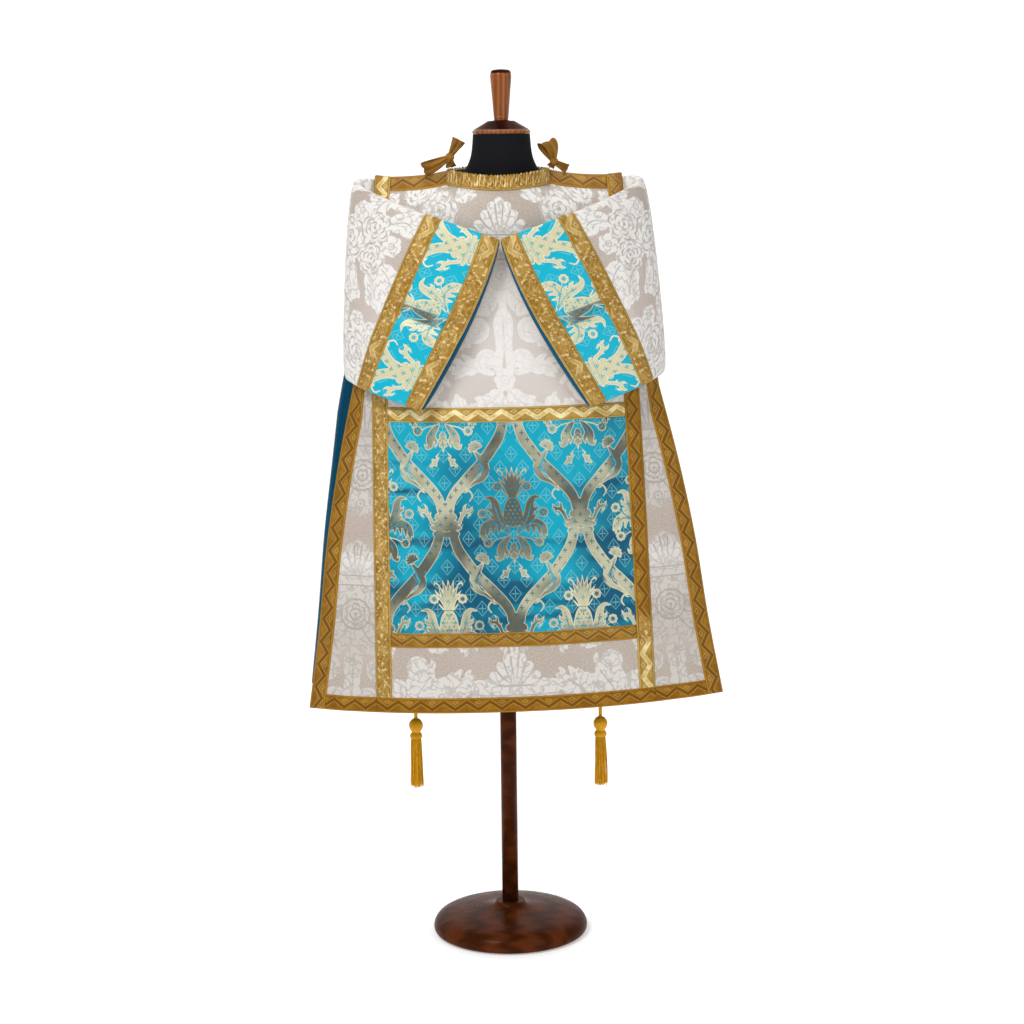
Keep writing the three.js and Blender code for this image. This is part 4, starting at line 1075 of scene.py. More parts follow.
def lampas_loom():
    """The origin is a clasp. The pineapple stands half a repeat across."""
    loom = Loom(REPEAT_WIDE, REPEAT_HIGH, half_drop=True, cell=1.0)
    # A band of the ogee, from the clasp up to the next one. Mirrors give the other three.
    heights = [30, 40, 49, 63, 79, 96, 112, 129, 146, 162, 179, 192]
    places = [8, 9.5, 13, 22, 37, 53, 69, 82, 94, 104, 110.5, 113]
    girths = [9, 9, 9.5, 10, 10.5, 10.5, 10.5, 10.5, 10.5, 10, 9.5, 9]
    loom.stroke(list(zip(places, heights)), girths)
    # The cup under the crotch of the bands, the clasp's three ribs, and a leaf scroll beside it.
    loom.stroke([(0, 36), (9, 34)], [8, 7])
    loom.stroke([(0, 18), (13, 15)], [14, 8])
    loom.stroke([(0, 2), (20, 3)], [7, 5])
    loom.stroke([(0, -8), (26, -5)], [5, 4.5])
    loom.stroke([(0, -18), (21, -16)], [5.5, 5])
    for height, reach in ((-2, 27), (-11.5, 28), (-21, 20)):
        rib = [(0, height - 1.5), (reach * 0.6, height - 0.8), (reach, height + 1.2)]
        loom.stroke(rib, [0.9, 0.9, 0.8], "line")
    loom.stroke([(26, 4), (31, 16), (38, 25), (48, 28), (52, 36)], [3.4, 3.6, 3.8, 3, 0.6])
    loom.stroke([(37, 24), (36, 33), (41, 40)], [3, 2.6, 0.5])
    loom.stroke([(45, 27), (46, 20), (41, 15)], [2.6, 2.2, 0.8])
    loom.stroke([(31, 17), (27, 25)], [2.4, 0.8])
    # A thin curl that leaves each band above the cup.
    loom.stroke([(34, 66), (46, 64), (52, 54), (46, 44)], [2.0, 1.7, 1.5, 1.2])
    # The carnation and the hooked leaf that clasp the band.
    for k in range(7):
        turn = math.radians(20 + 32 * k)
        loom.stroke([(60, 141), (60 + 11 * math.cos(turn), 143 + 11 * math.sin(turn))], [3, 2.9])
        gap = math.cos(turn + 0.28), math.sin(turn + 0.28)
        loom.stroke([(60 + r * gap[0], 143 + r * gap[1]) for r in (4, 13)], [0.4, 0.8], "line")
    hook = [(61, 134), (67, 126), (76, 113), (78, 100), (70, 86), (56, 78), (45, 70), (38, 74)]
    loom.stroke(hook, [3.5, 5.5, 7.5, 7.5, 5.5, 3.6, 2.4, 1.0])
    loom.stroke([(45, 70), (42, 62), (36, 60)], [2.2, 1.6, 0.6])
    loom.stroke([(62, 132), (67, 118), (72, 104), (66, 94)], [0.9, 1.8, 2.6, 0.8], "line")
    loom.stroke([(84, 122), (88, 108), (80, 92)], [1.4, 1.5, 1.2], "line")
    loom.stroke([(56, 124), (66, 104), (58, 88)], [0.8, 1.0, 0.8], "line")
    # The pineapple, on its own axis.
    axis = REPEAT_WIDE / 2

    def at(*points):
        return [(axis - x, y + 5) for x, y in points]

    loom.stroke(at((0, 8), (0, 26), (0, 38)), [19, 15.5, 9])
    for k in range(7):
        height = -8 + 7.4 * k
        for x in ((0, 8.4, 16.8) if k % 2 else (4.2, 12.6)):
            if x < 17 - 0.2 * max(0, height):
                loom.stroke(at((x, height)), [1.9], "line")
    loom.stroke(at((0, 47), (0, 52)), [8, 6])
    loom.stroke(at((0, 43.5), (9, 44.5)), [0.9, 0.8], "line")
    for x, y, width in ((0, 103, 4.4), (10, 100, 4.2), (19, 93, 3.8), (25, 82, 2.8)):
        loom.stroke(at((0.25 * x, 50), (0.55 * x, 50 + 0.5 * (y - 50)), (x, y)), [2.6, width, 0.8])
        loom.stroke(at((0.3 * x, 60), (0.8 * x, y - 10)), [0.4, 0.9], "line")
    loom.stroke(at((19, 93), (25, 97), (27, 91)), [1.6, 1.6, 1.0])
    # Upright leaves, drooping leaves and lower leaves, all from one joint.
    loom.stroke(at((7, -20), (22, -2), (30, 16), (33, 34), (41, 45), (53, 43)), [2, 7, 9, 7, 4, 1.2])
    loom.stroke(at((31, 22), (42, 22), (46, 30)), [5, 3.4, 0.8])
    loom.stroke(at((26, 8), (38, 8), (43, 15)), [5, 3.4, 0.8])
    loom.stroke(at((10, -17), (24, 0), (31, 20), (35, 36)), [1.0, 1.1, 1.1, 0.7], "line")
    loom.stroke(at((29, 8), (38, 12)), [0.5, 0.9], "line")
    loom.stroke(at((9, -22), (24, -7), (41, -3), (55, -10), (63, -27)), [2, 6, 8, 6.5, 1.4])
    for x, y in ((28, -22), (39, -23), (50, -27), (58, -33)):
        loom.stroke(at((x - 2, y + 14), (x, y)), [4.4, 1.6])
    loom.stroke(at((12, -20), (26, -8), (42, -5), (55, -14), (60, -24)), [1.1, 1.2, 1.2, 1.0, 0.5], "line")
    for x, y in ((33, -16), (44, -17), (53, -22)):
        loom.stroke(at((x - 2, y + 8), (x, y)), [0.4, 1.0], "line")
    loom.stroke(at((6, -27), (16, -38), (24, -52), (25, -66), (31, -71), (35, -64)), [2, 6.5, 8, 5.5, 3, 1.6])
    loom.stroke(at((18, -48), (13, -60), (15, -70)), [4.5, 3.4, 0.8])
    loom.stroke(at((8, -30), (19, -44), (24, -60)), [1.0, 1.1, 0.6], "line")
    # The bud below, and its trailing leaves.
    for x, y, size in ((4, -48, 3.4), (6, -57, 3.8), (5, -66, 3.2)):
        loom.stroke(at((0, y + 6), (x, y)), [3, size])
    loom.stroke(at((0, -62), (0, -78)), [4, 1.2])
    loom.stroke(at((0, -36), (0, -66)), [0.8, 0.9], "line")
    for x, y in ((11, -90), (20, -93), (15, -102), (24, -104)):
        loom.stroke(at((15, -96), (x, y)), [3.2, 3.0])
    loom.stroke(at((14, -86), (8, -80)), [1.4, 1.0])
    loom.stroke(at((13, -92), (19, -103)), [0.6, 0.8], "line")
    # Daisies on thin stems.
    for x, y in ((27, 66), (57, 16), (48, -39)):
        loom.floret(axis - x, y + 5, 9.4)
    loom.stroke(at((10, 46), (18, 56)), [1.4, 1.3])
    loom.stroke(at((4, -22), (24, -10), (44, 6), (50, 11)), [1.3, 1.0, 1.2, 1.2], "line")
    loom.stroke(at((40, 2), (50, 10)), [1.3, 1.3])
    loom.stroke(at((12, -28), (30, -32), (40, -37)), [1.4, 1.3, 1.3])
    return loom


LAMPAS_LOOM = lampas_loom()
LOZENGE_WIDE, LOZENGE_HIGH = 0.0422, 0.0523
TURQUOISE_IN_SHADE = (0.0, 0.055, 0.115, 1), (0.0, 0.115, 0.205, 1)
TURQUOISE_LIT = (0.0, 0.36, 0.50, 1), (0.004, 0.45, 0.61, 1)
PALE_TURQUOISE = (0.24, 0.58, 0.6, 1)
# The gold, painted brown as shade, dull, and pale as a highlight. Each pair for the rims and crosses is
# without and with the painted highlight.
SHADED_GOLD, DULL_GOLD = (0.11, 0.105, 0.075, 1), (0.54, 0.53, 0.37, 1)
PALE_GOLD = (0.42, 0.38, 0.22, 1), (0.84, 0.80, 0.55, 1)
GOLD_RIM = (0.72, 0.71, 0.50, 1), (0.84, 0.80, 0.57, 1)
CROSS_BLUE = (0.0, 0.14, 0.22, 1), (0.0, 0.36, 0.42, 1)


def off_middle(tree, value):
    """How far a value is from the middle of its own whole step."""
    return apart(tree, maths(tree, "FRACT", value), 0.5)


def lampas_ground(tree, a, b, tone, glare):
    """Turquoise satin with a diaper of tall lozenges. a and b count the lozenges along their sides."""
    far_a, far_b = off_middle(tree, a), off_middle(tree, b)
    far = maths(tree, "MAXIMUM", far_a, far_b)
    outline = between(tree, apart(tree, far, 0.27), 0.045, 0.0)
    arm = between(tree, apart(tree, far_a, far_b), 0.06, 0.01)
    arm = times(tree, arm, between(tree, far, 0.2, 0.15))
    diaper = times(tree, maths(tree, "MAXIMUM", outline, arm), 0.5)
    deep = blend_colours(tree, tone, *TURQUOISE_IN_SHADE)
    ground = blend_colours(tree, glare, deep, blend_colours(tree, tone, *TURQUOISE_LIT))
    return blend_colours(tree, diaper, ground, PALE_TURQUOISE)


def small_crosses(tree, a, b, inside):
    """Rows of small crosses, left in the wide parts of the gold."""
    half_a, half_b = off_middle(tree, times(tree, a, 2.0)), off_middle(tree, times(tree, b, 2.0))
    cross = between(tree, apart(tree, half_a, half_b), 0.13, 0.06)
    cross = times(tree, cross, between(tree, maths(tree, "MAXIMUM", half_a, half_b), 0.24, 0.19))
    return times(tree, cross, between(tree, inside, 1.6, 3.0, 0.0, 0.8))


def lampas_material():
    """Turquoise satin with two gold wefts: one bright, one painted brown as shade where it turns from light.
    """
    material, tree, bsdf = new_material("turquoise_lampas")
    place, glare, dim = cloth_place(tree), stored(tree, "glare"), stored(tree, "dim")
    height, tone = woven(tree, place, 800.0, 0.4)
    inside = stored(tree, "motif")
    motif = between(tree, inside, -0.5, 0.5)
    line = between(tree, stored(tree, "line"), -0.5, 0.5)
    split = wire(tree, "ShaderNodeSeparateXYZ", {0: place}).outputs
    wide, tall = times(tree, split[0], 1 / LOZENGE_WIDE), times(tree, split[1], 1 / LOZENGE_HIGH)
    a, b = maths(tree, "ADD", wide, tall), maths(tree, "SUBTRACT", wide, tall)
    ground = lampas_ground(tree, a, b, tone, glare)
    # Patches of painted sheen on the metal weft.
    sheen_patches = between(tree, noise(tree, place, 7.0, 2.0), 0.38, 0.62)
    sheen_patches = times(tree, sheen_patches, between(tree, tone, 0.2, 0.6, 0.6, 1.0))
    # The gold is painted pale as a highlight where it faces the light squarely, and brown as shade where it
    # is dim.
    pale = maths(tree, "MAXIMUM", between(tree, glare, 0.84, 0.97), between(tree, dim, -0.1, -0.9))
    sheen_patches = times(tree, sheen_patches, between(tree, dim, 0.0, 1.0, 1.0, 0.1))
    sheen_patches = maths(tree, "MAXIMUM", sheen_patches, pale)
    bright_gold = blend_colours(tree, pale, DULL_GOLD, blend_colours(tree, tone, *PALE_GOLD))
    gold = blend_colours(tree, sheen_patches, SHADED_GOLD, bright_gold)
    # The cream outline of each motif fades where the gold is painted dim, and it and the small crosses
    # lighten under the painted highlight.
    rim = between(tree, inside, 0.3, 1.8, 1.0, 0.0)
    rim = times(tree, rim, between(tree, dim, 0.0, 1.0, 0.8, 0.25))
    gold = blend_colours(tree, rim, gold, blend_colours(tree, pale, *GOLD_RIM))
    crosses = small_crosses(tree, a, b, inside)
    gold = blend_colours(tree, crosses, gold, blend_colours(tree, pale, *CROSS_BLUE))
    gold = blend_colours(tree, times(tree, line, 0.85), gold, ground)
    colour = blend_colours(tree, motif, ground, gold)
    bump = maths(tree, "MULTIPLY_ADD", height, 0.3, maths(tree, "SUBTRACT", motif, line))
    tree.links.new(between(tree, motif, 0.0, 1.0, 0.0, 0.2), bsdf.inputs["Metallic"])
    rough = between(tree, motif, 0.0, 1.0, 0.42, 0.46)
    surface(tree, bsdf, colour, rough, bump, 0.0003, Specular_IOR_Level=0.2)
    return material


LAMPAS = lampas_material()
BROCADE = 0.9


def lampas_fields(u, v, glare, dim=0.0):
    """What the lampas keeps at its points. dim paints shade on its gold, and below zero a pale highlight."""
    motif, line = (LAMPAS_LOOM.at(layer, u + REPEAT_WIDE / 2, v) for layer in ("motif", "line"))
    lit = {"glare": np.clip(glare, 0, 1), "dim": dim + 0 * u}
    return {"flat": flat_place(u, v), "motif": motif, "line": line, **lit}


# Height on the panel of the two clasps on each side of the middle pineapple.
CLASP_HEIGHT = 850.0
# Bands of painted shade along the level folds: the height of each, and the x at which it starts and ends.
FOLD_SHADE_BANDS = [
    (818, -260, -30),
    (812, 90, 260),
    (706, -260, 260),
    (735, -120, 60),
    (912, -260, -140),
    (672, -60, 260),
]
for name in PANELS:
    rows, columns = (176, 212) if name == "front" else (110, 130)
    # Its upper and lower edges go a little way under the braids.
    top, foot = CHEST_BAND_TOP - BRAID + 3, LOWER_BAND_TOP - 1
    x, z, top_x = centre_grid(name, rows, columns, top=top, foot=foot)
    points, normals = panel_points(name, x, z, top_x)
    folds = relief(CREASES[name], x, z)
    # Painted light: the lampas is painted brighter towards its top and on the creases' ridges, darker in
    # their troughs, with ripples across it.
    glare = 0.26 + 0.5 * np.clip((z - 700) / 300, 0, 1) + 0.15 * folds
    glare += 0.12 * np.sin(z / 17 + 1.4 * np.sin(x / 90)) + 0.08 * np.sin(x / 41)
    # The level folds lie across it as bands of painted shade, and the middle pineapple is painted as turned
    # from the light.
    for level, from_x, to_x in FOLD_SHADE_BANDS:
        reached = np.clip((x - from_x) / 40, 0, 1) * np.clip((to_x - x) / 40, 0, 1)
        glare -= 0.5 * reached * np.exp(-(((z - level - 5 * np.sin(x / 47 + level)) / 7) ** 2))
    glare = np.minimum(glare, 0.8)
    dim = np.exp(-((x / 72) ** 4) - ((z - 862) / 92) ** 4)
    # Three patches of its gold are painted pale, as highlights.
    dim -= 0.75 * np.exp(-(((np.abs(x) - 124) / 46) ** 4) - ((z - 690) / 50) ** 4)
    dim -= 0.6 * np.exp(-(((x + 95) / 62) ** 4) - ((z - 1000) / 45) ** 4)
    fields = lampas_fields(centred(points) - 6, z - CLASP_HEIGHT, glare, dim)
    square = cloth(f"turquoise_square_{name}", points, normals, 0.0, BROCADE + SEAM, LAMPAS, fields)
    trims[name].append(put_in_place(square, f"{name}_square"))

# ---------------------------------------------------------------- Gold galloon
# Woven braid of metal thread, about 30 mm wide, with a zigzag between corded edges. It runs round
# the neck, over the shoulders, down both uprights, above and below the square and along every edge.
BRAID_STAND, ZIGZAG_PERIOD = 1.7, 0.044
# Three tones of one gold thread, from painted shade to painted highlight. Each is its colour in shade and in
# full light.
DULL_THREAD = (0.17, 0.06, 0.001, 1), (0.28, 0.15, 0.02, 1)
CLEAR_THREAD = (0.40, 0.19, 0.012, 1), (0.62, 0.42, 0.11, 1)
BRIGHT_THREAD = (0.58, 0.36, 0.08, 1), (1.0, 0.90, 0.55, 1)


def galloon_material():
    """Metal thread: a stepped zigzag with a small lozenge in each bay, between two corded edges."""
    material, tree, bsdf = new_material("gold_galloon")
    place, glare = cloth_place(tree), stored(tree, "glare")
    height, tone = woven(tree, place, 700.0, 0.0)
    split = wire(tree, "ShaderNodeSeparateXYZ", {0: place}).outputs
    along = maths(tree, "DIVIDE", split[0], ZIGZAG_PERIOD)
    across = maths(tree, "DIVIDE", split[1], BRAID / 2 / 1000)
    zig = maths(tree, "PINGPONG", times(tree, along, 2.0), 1.0)
    off = apart(tree, across, maths(tree, "SUBTRACT", zig, 0.5))
    steps = times(tree, maths(tree, "SNAP", times(tree, off, 9.0), 1.0), 1 / 9)
    ribbon = between(tree, steps, 0.36, 0.22)
    rails = between(tree, apart(tree, off, 0.3), 0.1, 0.04)
    level = maths(tree, "ABSOLUTE", maths(tree, "ADD", across, 0.42))
    small = maths(tree, "MULTIPLY_ADD", level, 0.6, off_middle(tree, along))
    gem = between(tree, apart(tree, small, 0.13), 0.05, 0.015)
    out = maths(tree, "ABSOLUTE", across)
    edge = between(tree, out, 0.74, 0.8)
    groove = between(tree, apart(tree, out, 0.76), 0.06, 0.0)
    # Patches of painted sheen on the metal, which also raise the braid a little.
    sheen_patches = between(tree, noise(tree, place, 26.0, 4.0, 0.7), 0.38, 0.62)
    # Neither lit nor shaded, the zigzag is lost among flecks of light and dark thread, painted glints and
    # painted shade.
    plain = between(tree, apart(tree, glare, 0.5), 0.06, 0.26, 1.0, 0.0)
    fleck = noise(tree, place, 150.0, 2.0)
    threads = (DULL_THREAD, CLEAR_THREAD, BRIGHT_THREAD)
    dull, clear, light = (blend_colours(tree, glare, *thread) for thread in threads)
    share = maths(tree, "MULTIPLY_ADD", sheen_patches, 0.5, times(tree, tone, 0.4))
    field = blend_colours(tree, share, dull, clear)
    # The zigzag shines where the braid faces the light, and goes dark where it turns away.
    lit = blend_colours(tree, sheen_patches, clear, light)
    stripe = blend_colours(tree, between(tree, glare, 0.15, 0.85), dull, lit)
    strength = between(tree, plain, 0.0, 1.0, 0.85, 0.22)
    colour = blend_colours(tree, times(tree, ribbon, strength), field, stripe)
    glint_fleck = times(tree, between(tree, fleck, 0.55, 0.63), plain)
    shade_fleck = times(tree, between(tree, fleck, 0.42, 0.34), plain)
    colour = blend_colours(tree, times(tree, glint_fleck, 0.75), colour, light)
    colour = blend_colours(tree, times(tree, shade_fleck, 0.6), colour, dull)
    fine = times(tree, maths(tree, "MAXIMUM", rails, gem), between(tree, plain, 0.0, 1.0, 0.42, 0.15))
    colour = blend_colours(tree, fine, colour, light)
    colour = blend_colours(tree, times(tree, edge, 0.7), colour, clear)
    colour = blend_colours(tree, times(tree, groove, 0.7), colour, dull)
    stand = maths(tree, "SUBTRACT", maths(tree, "MULTIPLY_ADD", edge, 1.2, ribbon), groove)
    bump = maths(tree, "MULTIPLY_ADD", sheen_patches, 0.5, maths(tree, "MULTIPLY_ADD", height, 0.5, stand))
    bsdf.inputs["Metallic"].default_value = 0.35
    rough = between(tree, tone, 0.3, 0.7, 0.36, 0.5)
    surface(tree, bsdf, colour, rough, bump, 0.0005, Specular_IOR_Level=0.1)
    return material


GALLOON = galloon_material()


def crowned(cross, stand):
    """Height of the braid's face across its width, a little lower at both edges."""
    return stand - 0.8 * (np.abs(cross) / (BRAID / 2)) ** 6


def galloon(name, points, normals, along_rows, node, glare, stand=BRAID_STAND):
    """A strip of braid on a grid. along_rows says whether it runs from row to row or across them, and
    glare how brightly its metal shines, from 0 to 1."""
    run_axis, cross_axis = (0, 1) if along_rows else (1, 0)
    run = arc(points, run_axis)
    run = run.mean(axis=cross_axis, keepdims=True) + 0 * run
    cross = arc(points, cross_axis)
    whole = np.take(cross, [-1], cross_axis)
    cross = (cross - whole / 2) * (BRAID / whole)
    fields = {"flat": flat_place(run, cross), "glare": glare + 0 * run}
    piece = cloth(name, points, normals, 0.0, crowned(cross, stand), GALLOON, fields)
    return put_in_place(piece, node)


def add_galloons(name):
    """All the braids of the front or the back, but for the square's and the sleeves'."""
    made = []
    hem = {"top": HEM_HEIGHT + BRAID - 2, "foot": HEM_HEIGHT - 0.4}
    # Each braid's glare is painted light on its metal: the chest braid bright, the lower braid, the hems, the
    # edges and the shoulders in shade.
    for label, top, glare in (("chest", CHEST_BAND_TOP, 0.95), ("lower", LOWER_BAND_TOP, 0.25)):
        x, z, top_x = centre_grid(name, 9, 130, top=top, foot=top - BRAID + 2)
        grid = panel_points(name, x, z, top_x)
        made.append(galloon(f"galloon_{name}_{label}", *grid, False, f"{name}_{label}_braid", glare))
    grid = panel_points(name, *centre_grid(name, 9, 130, inner=False, **hem))
    made.append(galloon(f"galloon_{name}_hem", *grid, False, f"{name}_hem_braid", 0.05))
    for side, sign in SIDES.items():
        share = np.linspace(0, 1, 9)[None, :]
        drop = np.linspace(0, 1, 260)[:, None]
        z = SHOULDER_HEIGHT - 0.5 + (hem["top"] - SHOULDER_HEIGHT) * drop + 0 * share
        x = sign * (braid_line(z) - BRAID / 2 + BRAID * share)
        grid = panel_points(name, x, z, sign * SHOULDER_HALF + 0 * x, seamed=True)
        node = f"{name}_upright_braid_{side}"
        # Painted light: the left upright is lit near the hem and in shade above, the right one half lit, and
        # both are brighter near the shoulder.
        low, high = (0.85, 0.1) if side == "left" else (0.6, 0.6)
        glare = low + (high - low) * np.clip((z - 600) / 80, 0, 1) + 0.2 * np.clip((z - 1430) / 30, 0, 1)
        label = f"galloon_{name}_upright_{side}"
        made.append(galloon(label, *grid, True, node, glare, BRAID_STAND + 0.3))
        grid = panel_points(name, *wing_grid(name, sign, 210, 9, 1, 2))
        node = f"{name}_edge_braid_{side}"
        label = f"galloon_{name}_edge_{side}"
        made.append(galloon(label, *grid, True, node, 0.15, BRAID_STAND + 0.2))
        grid = panel_points(name, *wing_grid(name, sign, 9, 36, 0, 1, **hem))
        node = f"{name}_wing_hem_braid_{side}"
        made.append(galloon(f"galloon_{name}_wedge_hem_{side}", *grid, False, node, 0.05))
        share = np.linspace(0, 1, 40)[None, :]
        top_x = sign * (NECK_HALF + (SHOULDER_HALF - BRAID - NECK_HALF) * share)
        top_z = top_edge(PANELS[name], top_x)[1]
        z = top_z - (top_z - CHEST_BAND_TOP) * 0.06 * np.linspace(0, 1, 9)[:, None]
        grid = panel_points(name, top_x + 0 * z, z, top_x + 0 * z, seamed=True)
        node = f"{name}_shoulder_braid_{side}"
        made.append(galloon(f"galloon_{name}_shoulder_{side}", *grid, False, node, 0.15))
    made.append(gathered_neck(name))
    return made


def gathered_neck(name):
    """The neck's braid is drawn up along its upper edge, so that it ruffles."""
    angle = np.linspace(-math.pi / 2, math.pi / 2, 300)[None, :]
    top_x = NECK_HALF * np.sin(angle)
    top_z = top_edge(PANELS[name], top_x)[1]
    down = np.linspace(0, 1, 13)[:, None]
    z = top_z - 27 * down
    points, normals = panel_points(name, top_x + 0 * z, z, top_x + 0 * z)
    run = arc(points, 1)[0][None, :]
    phase = run / 0.62 + 3.1 * down + 2.6 * np.sin(run / 13.0) + 1.7 * np.sin(run / 4.1 + 1)
    ruffle = (0.6 * np.sin(phase) + 0.5 * np.sin(0.53 * phase + run / 7)) * (1 - down) ** 0.8
    points[..., 2] += (1.3 * np.sin(phase * 0.6 + 1) + 1.0) * (1 - down) ** 3
    cross = np.where(down > 0.82, 15 - 30 * down, 9 - 18 * down)
    # Streaks of painted light and shade run with the ruffles.
    streak = 0.28 * np.sin(phase) + 0.2 * np.sin(0.37 * phase + 5 * down)
    glare = np.clip(0.5 + streak * (down < 0.82), 0, 1)
    fields = {"flat": flat_place(run * 1.3, cross), "glare": glare}
    face = BRAID_STAND + 0.7 + ruffle
    piece = cloth(f"galloon_{name}_neck", points, normals, 0.0, face, GALLOON, fields)
    return put_in_place(piece, f"{name}_neck_braid")


for name in PANELS:
    trims[name] += add_galloons(name)

# ---------------------------------------------------------------- Sleeves
# Each is a flat tube of damask. It leaves the armhole sideways, turns forward round its own fold
# and lies across the chest. Its cuff is lampas between two galloons, and blue lining shows inside.

# A station is its upper fold, its lower fold, half its thickness, and the bearing of its outer layer.
STATIONS = np.array(
    [
        (239, 0, 1489, 255, 0, 1132, 57, 90),
        (263, -22, 1489, 282, -22, 1127, 28, 45),
        (256, -65, 1476, 298, -64, 1120, 14, -18),
        (212, -98, 1455, 284, -98, 1112, 11, -52),
        (164, -121, 1435, 257, -122, 1102, 10, -65),
        (112, -138, 1416, 226, -141, 1091, 10, -69),
        (58, -149, 1397, 192, -154, 1079, 10, -75),
        (1.6, -155, 1377, 158, -165, 1066, 10, -78),
    ],
    float,
)
# How flat a ring's two layers lie, and how the rings slant towards the mouth.
FLATNESS = 0.6
CUFF_SLANT, SLANT_FULL_FROM = 0.5, 0.6
# The layer on the chest reaches a step past the outer one, and the mouth bows out.
CUFF_STEP, CUFF_STEP_SHARE = 8.0, 6
MOUTH_BOW, MOTIF_SPREAD = 14.0, 4.0
# Shares of the sleeve's length that its trims take up.
UPPER_BRAID, BAND, EDGE_BRAID = (0.65, 0.73), (0.73, 0.92), (0.92, 1.0)
LINING_FROM = 0.48
# Soft creases of a sleeve's outer layer: share and depth down at both ends, half width and height.
SLEEVE_CREASES = {
    "right": [
        (0.30, 0.05, 0.52, 0.62, 0.05, -4.0),
        (0.42, 0.20, 0.60, 0.95, 0.04, 3.0),
        (0.36, 0.55, 0.50, 1.00, 0.05, -3.4),
        (0.62, 0.56, 1.00, 0.50, 0.035, -3.2),
        (0.64, 0.63, 1.00, 0.58, 0.04, 2.2),
        (0.70, 0.18, 0.98, 0.22, 0.05, -1.6),
    ],
    "left": [
        (0.30, 0.08, 0.50, 0.55, 0.05, -3.4),
        (0.44, 0.30, 0.58, 0.98, 0.045, 3.2),
        (0.34, 0.62, 0.46, 1.00, 0.05, -3.0),
        (0.62, 0.44, 1.00, 0.50, 0.035, -3.0),
        (0.66, 0.52, 1.00, 0.57, 0.04, 2.0),
        (0.70, 0.80, 0.98, 0.76, 0.05, -1.8),
    ],
}


def along(column, share):
    """A column of the stations at shares of the sleeve's length."""
    value = STATIONS[:, column]
    value = np.concatenate([[2 * value[0] - value[1]], value, [2 * value[-1] - value[-2]]])
    at = np.asarray(share, float) * (len(STATIONS) - 1)
    i = np.clip(np.floor(at).astype(int), 0, len(STATIONS) - 2)
    t = at - i
    return curve_between(value[i], value[i + 1], value[i + 2], value[i + 3], t)


def fold_line(first, share):
    """Points of the upper fold (first 0) or the lower one (first 3) at shares of the length."""
    return np.stack([along(first + k, share) for k in range(3)], -1)


def sleeve_relief(side, share, down):
    """How far the creases stand out of a sleeve's outer layer."""
    height = np.zeros(share.shape)
    for s0, d0, s1, d1, wide, high in SLEEVE_CREASES[side]:
        dx, dy = s1 - s0, d1 - d0
        t = ((share - s0) * dx + (down - d0) * dy) / (dx * dx + dy * dy)
        off = ((share - s0) * dy - (down - d0) * dx) / math.hypot(dx, dy)
        fade = np.clip(1.3 - np.abs(2 * np.clip(t, -0.4, 1.4) - 1), 0, 0.5) / 0.5
        height += high * fade**2 * np.exp(-(((off - 0.3 * wide * np.sin(7 * t)) / wide) ** 2))
    return height


def sleeve_points(side, share, angle):
    """A grid of points on a sleeve's outer face, for shares along it and angles round it."""
    sign = SIDES[side]
    ring, angle = np.asarray(share, float)[:, None], np.asarray(angle, float)[None, :]
    down = 0.5 - 0.5 * np.cos(angle)
    share = ring - CUFF_SLANT * np.minimum(1, ring / SLANT_FULL_FROM) * (1 - ring) * down
    top, low = fold_line(0, share), fold_line(3, share)
    bearing = np.radians(along(7, share))
    outward = np.stack([np.cos(bearing), np.sin(bearing), 0 * bearing], -1)
    ahead = fold_line(3, np.minimum(1, share + 0.004)) - fold_line(3, np.maximum(0, share - 0.004))
    ahead = ahead / np.linalg.norm(ahead, axis=-1)[..., None]
    swell = np.sign(np.sin(angle)) * np.abs(np.sin(angle)) ** FLATNESS
    creases = sleeve_relief(side, share, down)
    half = along(6, share) + creases * np.clip(swell, 0, 1) * np.minimum(1, 12 * down * (1 - down))
    points = top + (low - top) * down[..., None] + outward * (half * swell)[..., None]
    on_chest = np.maximum(0, -swell)
    points = points + ahead * (CUFF_STEP * on_chest * down * share**CUFF_STEP_SHARE)[..., None]
    # The mouth's edge bows out a little between its two folds.
    bow = MOUTH_BOW * np.sin(math.pi * down**0.75) * np.clip(ring, 0, 1) ** 4
    points = points + ahead * bow[..., None]
    # At its root it meets the side edges of the front and the back, down to the wedges.
    z = np.minimum(points[..., 2], SHOULDER_HEIGHT)
    near = np.clip(1 - ring / 0.12, 0, 1) ** 2 * np.clip((z - WING_START) / 60, 0, 1)
    edge_x = braid_line(z) + BRAID / 2 + SEAM
    for name, there in (("front", swell <= 0), ("back", swell > 0)):
        edge = hang(name, sign * edge_x, z, sign * SHOULDER_HALF) * (sign, 1, 1)
        points = points + (edge - points) * (near * there)[..., None]
    return points * (sign, 1, 1)


def even_angles(count):
    """Angles round a sleeve that give even steps along the cloth."""
    angle = np.linspace(0, 2 * math.pi, 1440)
    ring = sleeve_points("left", [0.6, 0.61], angle)[0]
    run = distances(ring)
    return np.interp(np.linspace(0, run[-1], count, endpoint=False), run, angle)


def sleeve_grid(side, from_share, to_share, rings, around):
    """Points and normals of a grid round a sleeve, and how far below its upper fold each lies. That
    is below zero on the layer against the chest."""
    share, angle = np.linspace(from_share, to_share, rings), even_angles(around)
    points = sleeve_points(side, share, angle)
    bearing = math.radians(along(7, [(from_share + to_share) / 2])[0])
    outward = np.array([SIDES[side] * math.cos(bearing), math.sin(bearing), 0])
    normals = normals_of(points, outward, wrap=True)
    if normals[rings // 2, around // 4] @ outward < 0:
        normals = -normals
    down = 0.5 - 0.5 * np.cos(angle)
    drop = np.linalg.norm(fold_line(3, share) - fold_line(0, share), axis=1)[:, None] * down[None, :]
    drop = np.where(angle[None, :] > math.pi, -drop, drop)
    return askew(points), normals, drop


